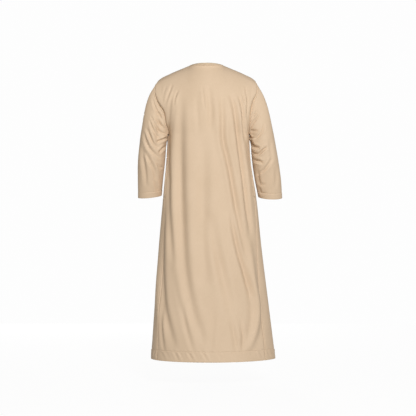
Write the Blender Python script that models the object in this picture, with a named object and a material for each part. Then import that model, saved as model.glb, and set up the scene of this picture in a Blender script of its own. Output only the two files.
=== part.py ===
"""Collarless thobe robe in its hollow worn form, metres, +Z up, front towards -Y.

The origin is the middle of the neck opening, level with the neck points.
+X is the wearer's left.  Each cut piece of cloth is a thin wall of its own.
"""

import math

import bpy
import numpy as np
from mathutils import Vector

for old_object in list(bpy.data.objects):
    bpy.data.objects.remove(old_object, do_unlink=True)


# Driving sizes of the garment

CLOTH = 0.0016              # wall of one panel
TURNED_CLOTH = 0.0024       # wall where the cloth is turned up at hem and cuff
SEAM_GAP = 0.0003           # space between two pieces that are sewn together
HEM_Z = -1.461              # level of the hem
HEM_TURN = 0.050            # height of the turned hem
CUFF_TURN = 0.030           # length of the turned cuff
TURN_STEP = 0.004           # length over which the turned cloth thins out
ARMPIT_Z = -0.335           # level of the underarm
SHOULDER_Y = -0.010         # the shoulder seams lie a little to the front
NECK_HALF = 0.085           # half the width of the neck opening
NECK_Z = 0.0105             # level of the neck points
NECK_BACK_Y = 0.066         # how far back the neckline reaches
NECK_FRONT_Y = -0.088       # how far forward the neckline reaches
NECK_BACK_DROP = 0.010      # how far the neckline drops at the back
NECK_FRONT_DROP = 0.080     # how far the neckline drops at the front
BAND_HEIGHT = 0.010         # height of the neck band
BAND_CLOTH = 0.0022         # wall of the neck band
PLACKET_HALF = 0.015        # half the width of the placket
PLACKET_LOW_Z = -0.470      # level above which the placket lies
PLACKET_CLOTH = 0.0014      # wall of the placket
POCKET_TOP_Z = -0.500       # levels between which the pocket mouths lie
POCKET_LOW_Z = -0.665
POCKET_CLOTH = 0.0012       # wall of the pocket edges
BAND_RISE = 0.8             # how much steeper the neck band stands than the cloth below it
BAND_OPENING = 0.0010       # space between the two ends of the neck band
BUTTON_RADIUS = 0.0055
BUTTON_HEIGHT = 0.0022
BUTTON_TOP_Z = -0.105       # level of the highest button
BUTTON_SPACING = 0.090

# Steps of the grids: columns across, rows upward, rings along a sleeve

PANEL_COLUMNS = 36
SHOULDER_COLUMNS = 11
GORE_COLUMNS = 6
SKIRT_ROWS = 17
YOKE_ROWS = 9
CAP_RINGS = 6
CAP_PULL = 0.68             # how far the cap runs on straight at both of its ends
CAP_SPREAD = 0.25           # how far the cap follows its seam towards front and back
ARM_RINGS = 8
NECK_ARCH = math.radians(62)       # turn of the cloth from the underarm up to the neckline
SHOULDER_ARCH = math.radians(84)   # and up to the shoulder seams
EDGE_FADE = 5                      # how fast the pull of the armhole seams fades inward
CORNER_SOFTNESS = 0.07             # share of a panel over which the neck corners are rounded
CORNER_FADE = 5                    # how fast their rounding grows below the neckline
ARCH_CHANGE = (0.065, 0.120)       # distances from the middle between which it changes
FOLD_STEPS = 24             # straight steps along the path of a fold
FOLD_FADE = 0.060           # depth over which the folds fade towards the sides
SLEEVE_FOLD_FADE = 0.6      # share of a turn over which sleeve folds fade to the sides
FRONT_FOLD_LIFT = 0.020     # the folds on the front of a sleeve lie this much lower
SECTION_POINTS = 400        # points of a finely drawn section
BUTTON_SIDES = 16
BUTTONS = 4

# Level, left edge, right edge, back, front, squareness left and right, and how
# far the gore seams lie from the middle of the side.  The robe hangs from the
# shoulders and swings out a little further on the wearer's right.
BODY_ROWS = {
    "z":      (-1.461, -1.140, -0.900, -0.656, -0.475, -0.335),
    "left":   (0.2762, 0.2545, 0.2375, 0.2160, 0.2000, 0.1920),
    "right":  (-0.3486, -0.3083, -0.2785, -0.2530, -0.2250, -0.2165),
    "back":   (0.207, 0.174, 0.156, 0.143, 0.140, 0.138),
    "front":  (-0.196, -0.172, -0.158, -0.150, -0.142, -0.132),
    "square_left":  (2.15, 2.15, 2.20, 2.20, 2.25, 2.30),
    "square_right": (1.75, 1.85, 1.95, 2.10, 2.20, 2.30),
    "gore":   (0.100, 0.079, 0.062, 0.046, 0.034, 0.025),
}

# Shoulder seam: distance from the middle and level
SHOULDER_ROWS = {
    "out": (0.085, 0.200, 0.227, 0.249),
    "z":   (0.0105, -0.0390, -0.0525, -0.070),
}
SHOULDER_TIP = 0.249
SHOULDER_SHIFT = -0.003     # the shoulders sit a little to the wearer's right

# Armhole seams between the underarm and the shoulder tip, from below upward
ARMHOLE_ROWS = {
    ("back", "left"): {
        "x": (0.2000, 0.2130, 0.2410, 0.2560, 0.2540),
        "y": (0.056, 0.070, 0.067, 0.047, 0.022),
        "z": (-0.285, -0.227, -0.177, -0.127, -0.089),
    },
    ("back", "right"): {
        "x": (-0.2200, -0.2240, -0.2340, -0.2550, -0.2565),
        "y": (0.056, 0.070, 0.067, 0.047, 0.022),
        "z": (-0.290, -0.232, -0.179, -0.126, -0.089),
    },
    ("front", "left"): {
        "x": (0.1960, 0.2040, 0.2240, 0.2420, 0.2465),
        "y": (-0.060, -0.076, -0.072, -0.054, -0.034),
        "z": (-0.290, -0.235, -0.180, -0.124, -0.087),
    },
    ("front", "right"): {
        "x": (-0.2190, -0.2200, -0.2310, -0.2480, -0.2520),
        "y": (-0.060, -0.076, -0.072, -0.054, -0.034),
        "z": (-0.290, -0.235, -0.180, -0.124, -0.087),
    },
}

# Sleeve rings from the upper arm to the cuff
SLEEVE_ROWS = {
    "left": {
        "z":     (-0.365, -0.475, -0.566, -0.648),
        "outer": (0.3330, 0.3440, 0.3450, 0.3442),
        "inner": (0.1990, 0.2060, 0.2165, 0.2245),
        "y":     (-0.004, -0.012, -0.028, -0.045),
        "deep":  (0.070, 0.062, 0.054, 0.047),
    },
    "right": {
        "z":     (-0.365, -0.475, -0.566, -0.6515),
        "outer": (-0.3465, -0.3662, -0.3795, -0.3855),
        "inner": (-0.2240, -0.2320, -0.2460, -0.2640),
        "y":     (-0.004, -0.012, -0.028, -0.045),
        "deep":  (0.070, 0.062, 0.054, 0.047),
    },
}
# How much lower the cuff is at its outer side and at its back than its middle
CUFF_TILT = {"left": (0.006, 0.0085), "right": (0.0025, 0.012)}

# Largest folds of the body, each a soft trough with a rise on both sides:
# side, x of its path, z of its path from above down, half width, depth
BODY_FOLDS = (
    ("back", (0.182, 0.190, 0.208, 0.196, 0.160), (-0.31, -0.63, -0.96, -1.13, -1.34), 0.016, 0.0080),
    ("back", (0.160, 0.172, 0.138), (-0.46, -0.76, -1.04), 0.015, 0.0050),
    ("back", (0.108, 0.108, 0.085, 0.030, -0.060), (-0.19, -0.67, -0.96, -1.22, -1.42), 0.020, 0.0085),
    ("back", (-0.098, -0.110, -0.158, -0.205), (-0.21, -0.40, -0.60, -0.83), 0.018, 0.0060),
    ("back", (-0.148, -0.168, -0.196), (-0.16, -0.34, -0.46), 0.018, 0.0055),
    ("back", (-0.020, -0.056, -0.122), (-0.68, -0.88, -1.13), 0.026, 0.0045),
    ("back", (-0.150, -0.180, -0.214), (-0.83, -0.94, -1.10), 0.017, 0.0050),
    ("back", (-0.274, -0.266, -0.228), (-0.98, -1.17, -1.39), 0.018, 0.0075),
    ("front", (0.155, 0.176, 0.190, 0.175), (-0.30, -0.65, -1.00, -1.36), 0.018, 0.0070),
    ("front", (0.090, 0.098, 0.075, 0.110), (-0.36, -0.68, -1.02, -1.42), 0.021, 0.0070),
    ("front", (-0.020, -0.040, -0.075), (-0.62, -0.95, -1.38), 0.024, 0.0055),
    ("front", (-0.110, -0.128, -0.160), (-0.34, -0.66, -1.05), 0.019, 0.0065),
    ("front", (-0.176, -0.205, -0.255), (-0.42, -0.80, -1.36), 0.018, 0.0070),
)

# Largest folds of the sleeves, from the outer side above to the underarm, on
# the back of the arm: side, x of the path, z of the path, half width, depth
SLEEVE_FOLDS = (
    ("left", (0.283, 0.262, 0.212), (-0.19, -0.25, -0.315), 0.011, 0.0050),
    ("left", (0.302, 0.282, 0.222), (-0.29, -0.36, -0.40), 0.013, 0.0065),
    ("left", (0.316, 0.285, 0.226), (-0.35, -0.42, -0.45), 0.012, 0.0055),
    ("left", (0.300, 0.280, 0.245), (-0.41, -0.50, -0.57), 0.012, 0.0050),
    ("right", (-0.268, -0.250, -0.226), (-0.21, -0.245, -0.285), 0.011, 0.0045),
    ("right", (-0.300, -0.272, -0.228), (-0.26, -0.33, -0.345), 0.013, 0.0060),
    ("right", (-0.302, -0.262, -0.236), (-0.40, -0.44, -0.455), 0.013, 0.0055),
    ("right", (-0.345, -0.338, -0.320), (-0.44, -0.52, -0.60), 0.013, 0.0045),
)


def smooth_row(stations, values, wanted):
    """Cubic curve through a table row: the value at each wanted station."""
    stations = np.asarray(stations, dtype=float)
    values = np.asarray(values, dtype=float)
    slopes = np.gradient(values, stations, axis=0)
    place = np.clip(np.searchsorted(stations, wanted) - 1, 0, len(stations) - 2)
    width = stations[place + 1] - stations[place]
    part = np.clip((wanted - stations[place]) / width, 0.0, 1.0)
    return (
        values[place] * (2 * part**3 - 3 * part**2 + 1)
        + slopes[place] * width * (part**3 - 2 * part**2 + part)
        + values[place + 1] * (3 * part**2 - 2 * part**3)
        + slopes[place + 1] * width * (part**3 - part**2)
    )


def along_path(points, count):
    """A smooth curve through a few points, read at even shares of its length."""
    points = np.asarray(points, dtype=float)
    chords = np.linalg.norm(np.diff(points, axis=0), axis=1)
    stations = np.concatenate(([0.0], np.cumsum(chords)))
    fine = np.linspace(0.0, stations[-1], 200)
    axes = range(points.shape[1])
    curve = np.stack([smooth_row(stations, points[:, axis], fine) for axis in axes], axis=1)
    return even_points(curve, np.linspace(0.0, 1.0, count + 1))


def even_points(curve, shares):
    """The points at the given shares of a curve's length."""
    steps = np.linalg.norm(np.diff(curve, axis=0), axis=1)
    run = np.concatenate(([0.0], np.cumsum(steps)))
    axes = range(curve.shape[1])
    return np.stack([np.interp(shares * run[-1], run, curve[:, axis]) for axis in axes], axis=1)


def body_size(name, z):
    """One of the body's sizes at a level."""
    return float(smooth_row(BODY_ROWS["z"], BODY_ROWS[name], z))


def body_slice(z, turn):
    """Points of the robe's level section; turn runs from the left over the back."""
    left = body_size("left", z)
    right = body_size("right", z)
    middle = (left + right) / 2
    half = (left - right) / 2
    cosine = np.cos(turn)
    sine = np.sin(turn)
    square = np.where(cosine > 0, body_size("square_left", z), body_size("square_right", z))
    deep = np.where(sine > 0, body_size("back", z), -body_size("front", z))
    x = middle + half * np.sign(cosine) * np.abs(cosine) ** (2 / square)
    y = deep * np.sign(sine) * np.abs(sine) ** (2 / square)
    return np.stack([x, y, np.full_like(x, z)], axis=1)


def seam_turns(z, side):
    """Where the gore seams lie on the section of the back or the front."""
    deep = abs(body_size(side, z))
    share = body_size("gore", z) / deep
    left = math.asin(share ** (body_size("square_left", z) / 2))
    right = math.pi - math.asin(share ** (body_size("square_right", z) / 2))
    sign = 1 if side == "back" else -1
    return sign * left, sign * right


def path_distance(path, points):
    """Distance of each point from a path, and its place along the path, 0 to 1."""
    start = path[None, :-1]
    run = (path[1:] - path[:-1])[None]
    reach = points[:, None] - start
    part = np.clip((reach * run).sum(axis=2) / (run * run).sum(axis=2), 0.0, 1.0)
    distance = np.linalg.norm(reach - run * part[:, :, None], axis=2)
    nearest = distance.argmin(axis=1)
    rows = np.arange(len(points))
    return distance[rows, nearest], (nearest + part[rows, nearest]) / (len(path) - 1)


def fold_depth(folds, side, points):
    """How far the folds move each point of a side in or out, seen square on."""
    moved = np.zeros(len(points))
    for fold_side, path_x, path_z, width, depth in folds:
        if fold_side != side:
            continue
        path = along_path(np.stack([path_x, path_z], axis=1), FOLD_STEPS)
        distance, share = path_distance(path, points)
        ends = np.sin(np.pi * share)
        across = distance / width
        moved -= depth * ends * (1 - across**2) * np.exp(-(across**2) / 2)
    return moved


def soft_step(value, low, high):
    """Runs smoothly from 0 at low to 1 at high."""
    part = np.clip((value - low) / (high - low), 0.0, 1.0)
    return part * part * (3 - 2 * part)


def folded_section(z, start, end, share=1.0):
    """A finely drawn stretch of the section at a level, moved in and out by the folds."""
    curve = body_slice(z, np.linspace(start, end, SECTION_POINTS))
    step = np.gradient(curve, axis=0)
    out = unit(np.stack([step[:, 1], -step[:, 0], np.zeros(len(curve))], axis=1))
    if end < start:
        out = -out
    seen = curve[:, (0, 2)]
    amount = fold_depth(BODY_FOLDS, "back", seen) * soft_step(curve[:, 1], 0.0, FOLD_FADE)
    amount += fold_depth(BODY_FOLDS, "front", seen) * soft_step(-curve[:, 1], 0.0, FOLD_FADE)
    return curve + out * (amount * share)[:, None]


def panel_shares(side, length):
    """Even shares across a panel; the front keeps two columns at the placket's edges."""
    shares = np.linspace(0.0, 1.0, PANEL_COLUMNS + 1)
    if side == "front":
        middle = PANEL_COLUMNS // 2
        shares[middle - 1] = 0.5 - PLACKET_HALF / length
        shares[middle + 1] = 0.5 + PLACKET_HALF / length
    return shares


def skirt_row(side, z, share=1.0):
    """One level row of the back or front panel, from the left seam to the right."""
    curve = folded_section(z, *seam_turns(z, side), share)
    length = np.linalg.norm(np.diff(curve, axis=0), axis=1).sum()
    return even_points(curve, panel_shares(side, length))


def gore_row(hand, z):
    """One level row of a side gore, from its back seam to its front seam."""
    pick = 0 if hand == "left" else 1
    back_turn = seam_turns(z, "back")[pick]
    front_turn = seam_turns(z, "front")[pick]
    if hand == "right":
        front_turn += 2 * math.pi
    curve = folded_section(z, back_turn, front_turn)
    return even_points(curve, np.linspace(0.0, 1.0, GORE_COLUMNS + 1))


def shoulder_point(hand, share):
    """A point of the shoulder seam, from the tip (0) to the neck point (1)."""
    out = SHOULDER_TIP + (NECK_HALF - SHOULDER_TIP) * share
    z = float(smooth_row(SHOULDER_ROWS["out"], SHOULDER_ROWS["z"], out))
    return np.array([SHOULDER_SHIFT + (out if hand == "left" else -out), SHOULDER_Y, z])


def neck_point(side, share):
    """A point of the neckline, from the left neck point (0) to the right (1)."""
    turn = math.pi * share
    reach = NECK_BACK_Y if side == "back" else NECK_FRONT_Y
    drop = NECK_BACK_DROP if side == "back" else NECK_FRONT_DROP
    return np.array([
        SHOULDER_SHIFT + NECK_HALF * math.cos(turn),
        SHOULDER_Y + (reach - SHOULDER_Y) * math.sin(turn),
        NECK_Z - drop * math.sin(turn) ** 1.6,
    ])


def top_row(side):
    """Shoulder seam, neckline and shoulder seam again, from left to right."""
    neck_columns = PANEL_COLUMNS - 2 * SHOULDER_COLUMNS
    left = [shoulder_point("left", i / SHOULDER_COLUMNS) for i in range(SHOULDER_COLUMNS)]
    neck_shares = np.linspace(0.0, 1.0, neck_columns + 1)
    if side == "front":
        middle = neck_columns // 2
        edge = math.asin(PLACKET_HALF / NECK_HALF) / math.pi
        neck_shares[middle - 1] = 0.5 - edge
        neck_shares[middle + 1] = 0.5 + edge
    neck = [neck_point(side, share) for share in neck_shares]
    right = [shoulder_point("right", i / SHOULDER_COLUMNS) for i in range(SHOULDER_COLUMNS)]
    return np.array(left + neck + right[::-1])


def armhole_edge(side, hand, corner, tip):
    """The armhole seam of one panel from its underarm corner to the shoulder tip."""
    rows = ARMHOLE_ROWS[(side, hand)]
    middle = np.stack([rows["x"], rows["y"], rows["z"]], axis=1)
    return along_path(np.vstack([corner, middle, tip]), YOKE_ROWS)


def softened(row):
    """A row of points with its corners rounded off and its two ends kept."""
    count = len(row)
    before = 2 * row[0] - row[:0:-1]
    after = 2 * row[-1] - row[-2::-1]
    wide = np.vstack([before, row, after])
    place = np.arange(-(count - 1), count) / (count - 1)
    weight = np.exp(-((place / CORNER_SOFTNESS) ** 2) / 2)
    weight /= weight.sum()
    return np.stack([np.convolve(wide[:, axis], weight, "valid") for axis in range(3)], axis=1)


def yoke_rows(side, corners):
    """The rows of a panel above the underarm, over the back or the chest."""
    base = skirt_row(side, ARMPIT_Z, 0.0)
    top = top_row(side)
    soft_top = softened(top)
    left = armhole_edge(side, "left", corners[0], top[0])
    right = armhole_edge(side, "right", corners[1], top[-1])
    across = np.linspace(0.0, 1.0, PANEL_COLUMNS + 1)
    near_left = (1 - across) ** EDGE_FADE
    near_right = across**EDGE_FADE
    inside = soft_step(np.minimum(across, 1 - across), 0.0, 1 / EDGE_FADE)
    rows = []
    arch = NECK_ARCH + (SHOULDER_ARCH - NECK_ARCH) * soft_step(np.abs(top[:, 0]), *ARCH_CHANGE)
    for j in range(1, YOKE_ROWS + 1):
        share = j / YOKE_ROWS
        aim = soft_top + (top - soft_top) * share**CORNER_FADE
        lift = np.sin(share * arch) / np.sin(arch)
        lean = (np.cos(share * arch) - np.cos(arch)) / (1 - np.cos(arch))
        row = np.empty_like(base)
        row[:, 0] = base[:, 0] + (aim[:, 0] - base[:, 0]) * share
        row[:, 1] = aim[:, 1] + (base[:, 1] - aim[:, 1]) * lean
        row[:, 2] = base[:, 2] + (aim[:, 2] - base[:, 2]) * lift
        row += near_left[:, None] * (left[j] - row[0])
        row += near_right[:, None] * (right[j] - row[-1])
        calm = (1 + (inside - 1) * soft_step(share, 0.0, 0.3)) * (1 - share**3)
        amount = fold_depth(BODY_FOLDS, side, row[:, (0, 2)]) * calm
        row[:, 1] += amount if side == "back" else -amount
        row[0] = left[j]
        row[-1] = right[j]
        rows.append(row)
    return rows


def level_rows():
    """Levels of the skirt rows from the hem up, with a step at the turned hem."""
    turn_top = HEM_Z + HEM_TURN
    above = np.linspace(turn_top + TURN_STEP, ARMPIT_Z, SKIRT_ROWS + 1)
    return np.concatenate(([HEM_Z, turn_top], above))


def panel_grid(side):
    """All points of the back or the front panel."""
    rows = [skirt_row(side, z) for z in level_rows()]
    return np.array(rows + yoke_rows(side, rows[-1][[0, -1]]))


def gore_grid(hand, back, front):
    """All points of a gore; its edges are the panels' own seam points."""
    column = 0 if hand == "left" else -1
    rows = []
    for j, z in enumerate(level_rows()):
        row = gore_row(hand, z)
        row[0] = back[j, column]
        row[-1] = front[j, column]
        rows.append(row)
    return np.array(rows)


def armhole_loop(hand, back, front, gore):
    """The armhole from the shoulder tip down the back, under the arm and up the front."""
    column = 0 if hand == "left" else -1
    down = back[-1:-YOKE_ROWS - 1:-1, column]
    under = gore[-1]
    up = front[-YOKE_ROWS:-1, column]
    return np.vstack([down, under, up])


def sleeve_ring(hand, share):
    """One ring of the sleeve tube, from the upper arm (0) to the cuff (1)."""
    rows = SLEEVE_ROWS[hand]
    z = rows["z"][0] + (rows["z"][-1] - rows["z"][0]) * share
    stations = rows["z"][::-1]
    sizes = {name: float(smooth_row(stations, rows[name][::-1], z)) for name in rows}
    count = 2 * YOKE_ROWS + GORE_COLUMNS
    turn = 2 * math.pi * np.arange(count) / count
    middle = (sizes["outer"] + sizes["inner"]) / 2
    half = (sizes["outer"] - sizes["inner"]) / 2
    tilt_out, tilt_back = CUFF_TILT[hand]
    drop = tilt_out * np.cos(turn) + tilt_back * np.sin(turn)
    return np.stack([
        middle + half * np.cos(turn),
        sizes["y"] + sizes["deep"] * np.sin(turn),
        z - drop * share,
    ], axis=1)


def arm_shares(hand):
    """Places of the rings below the upper arm, with a step at the turned cuff."""
    rows = SLEEVE_ROWS[hand]
    length = rows["z"][0] - rows["z"][-1]
    turn = 1 - CUFF_TURN / length
    step = 1 - (CUFF_TURN + TURN_STEP) / length
    return list(np.linspace(0.0, step, ARM_RINGS)) + [turn, 1.0]


def body_reach(hand, back, front, gore):
    """How the body's cloth runs on past the armhole seam, at each point of the loop."""
    first, second = (0, 1) if hand == "left" else (-1, -2)
    down = (back[:, first] - back[:, second])[-1:-YOKE_ROWS - 1:-1]
    under = gore[-1] - gore[-2]
    up = (front[:, first] - front[:, second])[-YOKE_ROWS:-1]
    return np.vstack([down, under, up])


def unit(vectors):
    """Vectors of length one."""
    return vectors / np.linalg.norm(vectors, axis=-1)[..., None]


def across_edge(direction, tangent):
    """The part of a direction that is square to the edge."""
    along = (direction * tangent).sum(axis=-1)[..., None]
    return unit(direction - along * tangent)


def sleeve_rings(hand, loop, reach):
    """The rings of a sleeve from the armhole seam to the cuff, and its seam frame."""
    tube = [sleeve_ring(hand, share) for share in arm_shares(hand)]
    tangent = unit(np.roll(loop, -1, axis=0) - np.roll(loop, 1, axis=0))
    to_arm = across_edge(tube[0] - loop, tangent)
    from_body = across_edge(reach, tangent)
    outward = across_edge(to_arm + from_body, tangent)
    length = np.linalg.norm(tube[0] - loop, axis=1)[:, None]
    start = unit(outward * (1, CAP_SPREAD, 1)) * length * CAP_PULL
    end = unit(tube[1] - tube[0]) * length * CAP_PULL
    rings = []
    for step in range(CAP_RINGS):
        part = step / CAP_RINGS
        rings.append(
            loop * (2 * part**3 - 3 * part**2 + 1)
            + start * (part**3 - 2 * part**2 + part)
            + tube[0] * (3 * part**2 - 2 * part**3)
            + end * (part**3 - part**2)
        )
    rings = np.array(rings + tube)
    for ring in rings[2:-2]:
        out = unit((ring - ring.mean(axis=0)) * (1, 1, 0.2))
        behind = soft_step(out[:, 1], 0.0, SLEEVE_FOLD_FADE)
        ahead = soft_step(-out[:, 1], 0.0, SLEEVE_FOLD_FADE)
        seen = ring[:, (0, 2)]
        amount = fold_depth(SLEEVE_FOLDS, hand, seen) * behind
        amount += fold_depth(SLEEVE_FOLDS, hand, seen + (0.0, FRONT_FOLD_LIFT)) * ahead
        ring += out * amount[:, None]
    return rings, tangent, outward


def grid_normals(grid, closed):
    """Outward normals of a grid of points; closed grids run round in columns."""
    if closed:
        wide = np.concatenate([grid[:, -1:], grid, grid[:, :1]], axis=1)
        across = (wide[:, 2:] - wide[:, :-2])
    else:
        across = np.gradient(grid, axis=1)
    return unit(np.cross(across, np.gradient(grid, axis=0)))


def shell_mesh(outer, inner, closed):
    """Points and triangles of a closed wall between two grids of points."""
    rows, columns = outer.shape[:2]
    points = np.vstack([outer.reshape(-1, 3), inner.reshape(-1, 3)])
    inside = rows * columns
    spans = columns if closed else columns - 1
    faces = []

    def add(a, b, c, d):
        faces.append((a, b, c))
        faces.append((a, c, d))

    for j in range(rows - 1):
        for i in range(spans):
            k = (i + 1) % columns
            a, b = j * columns + i, j * columns + k
            c, d = (j + 1) * columns + k, (j + 1) * columns + i
            add(a, b, c, d)
            faces.append((inside + a, inside + c, inside + b))
            faces.append((inside + a, inside + d, inside + c))
    for i in range(spans):
        k = (i + 1) % columns
        last = (rows - 1) * columns
        add(inside + i, inside + k, k, i)
        add(last + i, last + k, inside + last + k, inside + last + i)
    if not closed:
        for j in range(rows - 1):
            low, high = j * columns, (j + 1) * columns
            add(low, high, inside + high, inside + low)
            low, high = low + columns - 1, high + columns - 1
            faces.append((high, low, inside + high))
            faces.append((low, inside + low, inside + high))
    return points, faces


def make_piece(name, points, faces, material):
    """Adds one closed piece to the scene, with its faces turned out."""
    ends = points[np.array(faces)]
    volume = np.einsum("ij,ij->i", ends[:, 0], np.cross(ends[:, 1], ends[:, 2])).sum()
    if volume < 0:
        faces = [(a, c, b) for a, b, c in faces]
    mesh = bpy.data.meshes.new(name)
    mesh.from_pydata([tuple(point) for point in points], [], faces)
    mesh.update()
    mesh.shade_smooth()
    mesh.set_sharp_from_angle(angle=math.radians(40))
    mesh.materials.append(material)
    piece = bpy.data.objects.new(name, mesh)
    bpy.context.scene.collection.objects.link(piece)
    return piece


def make_material(name, colour, roughness):
    """A plain cloth or button material."""
    material = bpy.data.materials.new(name)
    material.use_nodes = True
    shader = material.node_tree.nodes["Principled BSDF"]
    shader.inputs["Base Color"].default_value = (*colour, 1.0)
    shader.inputs["Roughness"].default_value = roughness
    shader.inputs["Metallic"].default_value = 0.0
    return material


# Materials

robe_cloth = make_material("robe_cloth", (0.64, 0.49, 0.35), 0.80)
band_cloth = make_material("band_cloth", (0.60, 0.48, 0.34), 0.82)
button_resin = make_material("button_resin", (0.56, 0.43, 0.31), 0.40)


# Points of the body panels and the gores

back_grid = panel_grid("back")
front_grid = panel_grid("front")
gore_grids = {hand: gore_grid(hand, back_grid, front_grid) for hand in ("left", "right")}

# Normals, shared along the seams so that both walls end on the same plane

back_normals = grid_normals(back_grid, False)
front_normals = grid_normals(front_grid, False)
back_normals *= np.sign(back_normals[2, PANEL_COLUMNS // 2, 1])
front_normals *= -np.sign(front_normals[2, PANEL_COLUMNS // 2, 1])
gore_normals = {}
skirt = len(level_rows())
for hand, column, way in (("left", 0, 1), ("right", -1, -1)):
    normals = grid_normals(gore_grids[hand], False)
    normals *= way * np.sign(normals[2, GORE_COLUMNS // 2, 0])
    for panel, edge in ((back_normals, 0), (front_normals, -1)):
        shared = unit(panel[:skirt, column] + normals[:, edge])
        panel[:skirt, column] = shared
        normals[:, edge] = shared
    gore_normals[hand] = normals
shoulder_columns = list(range(SHOULDER_COLUMNS + 1))
shoulder_columns += list(range(PANEL_COLUMNS - SHOULDER_COLUMNS, PANEL_COLUMNS + 1))
shared = unit(back_normals[-1, shoulder_columns] + front_normals[-1, shoulder_columns])
back_normals[-1, shoulder_columns] = shared
front_normals[-1, shoulder_columns] = shared

# Seam frames round the armholes, and the sleeves that start from them

sleeve_grids = {}
sleeve_normals = {}
armhole_out = {}
for hand, column in (("left", 0), ("right", -1)):
    loop = armhole_loop(hand, back_grid, front_grid, gore_grids[hand])
    reach = body_reach(hand, back_grid, front_grid, gore_grids[hand])
    rings, tangent, outward = sleeve_rings(hand, loop, reach)
    normals = grid_normals(rings, True)
    middle = rings[-2].mean(axis=0)
    if ((rings[-2] - middle) * normals[-2]).sum() < 0:
        normals = -normals
    frame = unit(np.cross(tangent, outward))
    frame *= np.sign((frame * normals[1]).sum(axis=1))[:, None]
    normals[0] = frame
    sleeve_grids[hand] = rings
    sleeve_normals[hand] = normals
    armhole_out[hand] = outward
    corner = YOKE_ROWS
    back_normals[-1:-YOKE_ROWS - 1:-1, column] = frame[:corner]
    front_normals[-YOKE_ROWS:, column] = np.vstack([frame[corner + GORE_COLUMNS + 1:], frame[:1]])
    gore_normals[hand][-1] = frame[corner:corner + GORE_COLUMNS + 1]
    back_normals[skirt - 1, column] = frame[corner]
    front_normals[skirt - 1, column] = frame[corner + GORE_COLUMNS]


def trimmed(grid, edges):
    """Draws the named edges of a grid in by half a seam gap, along the cloth."""
    result = grid.copy()
    for edge in edges:
        if edge == "first_column":
            result[:, 0] += unit(grid[:, 1] - grid[:, 0]) * SEAM_GAP / 2
        elif edge == "last_column":
            result[:, -1] += unit(grid[:, -2] - grid[:, -1]) * SEAM_GAP / 2
        elif edge == "top":
            result[-1] += unit(grid[-2] - grid[-1]) * SEAM_GAP / 2
    return result


def wall_rows(count, turned):
    """Wall of each row: thicker where the cloth is turned up."""
    walls = np.full(count, CLOTH)
    walls[turned] = TURNED_CLOTH
    return walls[:, None, None]


# Body pieces

hem_rows = [0, 1]
for name, grid, normals in (
    ("back_panel", back_grid, back_normals),
    ("front_panel", front_grid, front_normals),
):
    outer = trimmed(grid, ("first_column", "last_column", "top"))
    inner = outer - normals * wall_rows(len(grid), hem_rows)
    make_piece(name, *shell_mesh(outer, inner, False), robe_cloth)

for hand in ("left", "right"):
    grid = gore_grids[hand]
    outer = trimmed(grid, ("first_column", "last_column", "top"))
    inner = outer - gore_normals[hand] * wall_rows(len(grid), hem_rows)
    make_piece(f"gore_{hand}", *shell_mesh(outer, inner, False), robe_cloth)

# Sleeves

for hand in ("left", "right"):
    grid = sleeve_grids[hand]
    outer = grid.copy()
    outer[0] += armhole_out[hand] * SEAM_GAP
    inner = outer - sleeve_normals[hand] * wall_rows(len(grid), [-2, -1])
    make_piece(f"sleeve_{hand}", *shell_mesh(outer, inner, True), robe_cloth)

# Neck band: a narrow strip that stands on the neckline, its ends at the centre front

first = SHOULDER_COLUMNS
last = PANEL_COLUMNS - SHOULDER_COLUMNS
middle = PANEL_COLUMNS // 2


def neck_loop(back, front):
    """Values along the neckline from the centre front over the left side and the back."""
    return np.vstack([front[first:middle + 1][::-1], back[first + 1:last], front[middle:last + 1][::-1]])


edge = neck_loop(back_grid[-1], front_grid[-1])
below = neck_loop(back_grid[-2], front_grid[-2])
over_front = edge[1] - edge[-2]
tangent = unit(np.vstack([over_front, edge[2:] - edge[:-2], over_front]))
rise = across_edge(unit(edge - below) + (0, 0, BAND_RISE), tangent)
facing = unit(np.cross(tangent, rise))
facing *= np.sign((facing * neck_loop(back_normals[-1], front_normals[-1])).sum(axis=1))[:, None]
edge[0, 0] += BAND_OPENING / 2
edge[-1, 0] -= BAND_OPENING / 2
band = np.array([edge + rise * SEAM_GAP, edge + rise * BAND_HEIGHT])
make_piece("neck_band", *shell_mesh(band, band - facing * BAND_CLOTH, False), band_cloth)

# Placket: a strip laid over the closed opening, on the front panel's own points

levels = front_grid[:, middle, 2]
rows = levels > PLACKET_LOW_Z
ground = trimmed(front_grid, ("top",))[rows, middle - 1:middle + 2]
lift = front_normals[rows, middle - 1:middle + 2]
placket = ground + lift * (SEAM_GAP + PLACKET_CLOTH)
make_piece("placket", *shell_mesh(placket, ground + lift * SEAM_GAP, False), robe_cloth)

# Pocket edges: a stitched strip along the back seam of each gore

for hand in ("left", "right"):
    levels = gore_grids[hand][:, 0, 2]
    rows = (levels < POCKET_TOP_Z) & (levels > POCKET_LOW_Z)
    ground = trimmed(gore_grids[hand], ("first_column",))[rows, :2]
    lift = gore_normals[hand][rows, :2]
    strip = ground + lift * (SEAM_GAP + POCKET_CLOTH)
    make_piece(f"pocket_{hand}", *shell_mesh(strip, ground + lift * SEAM_GAP, False), robe_cloth)


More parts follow.
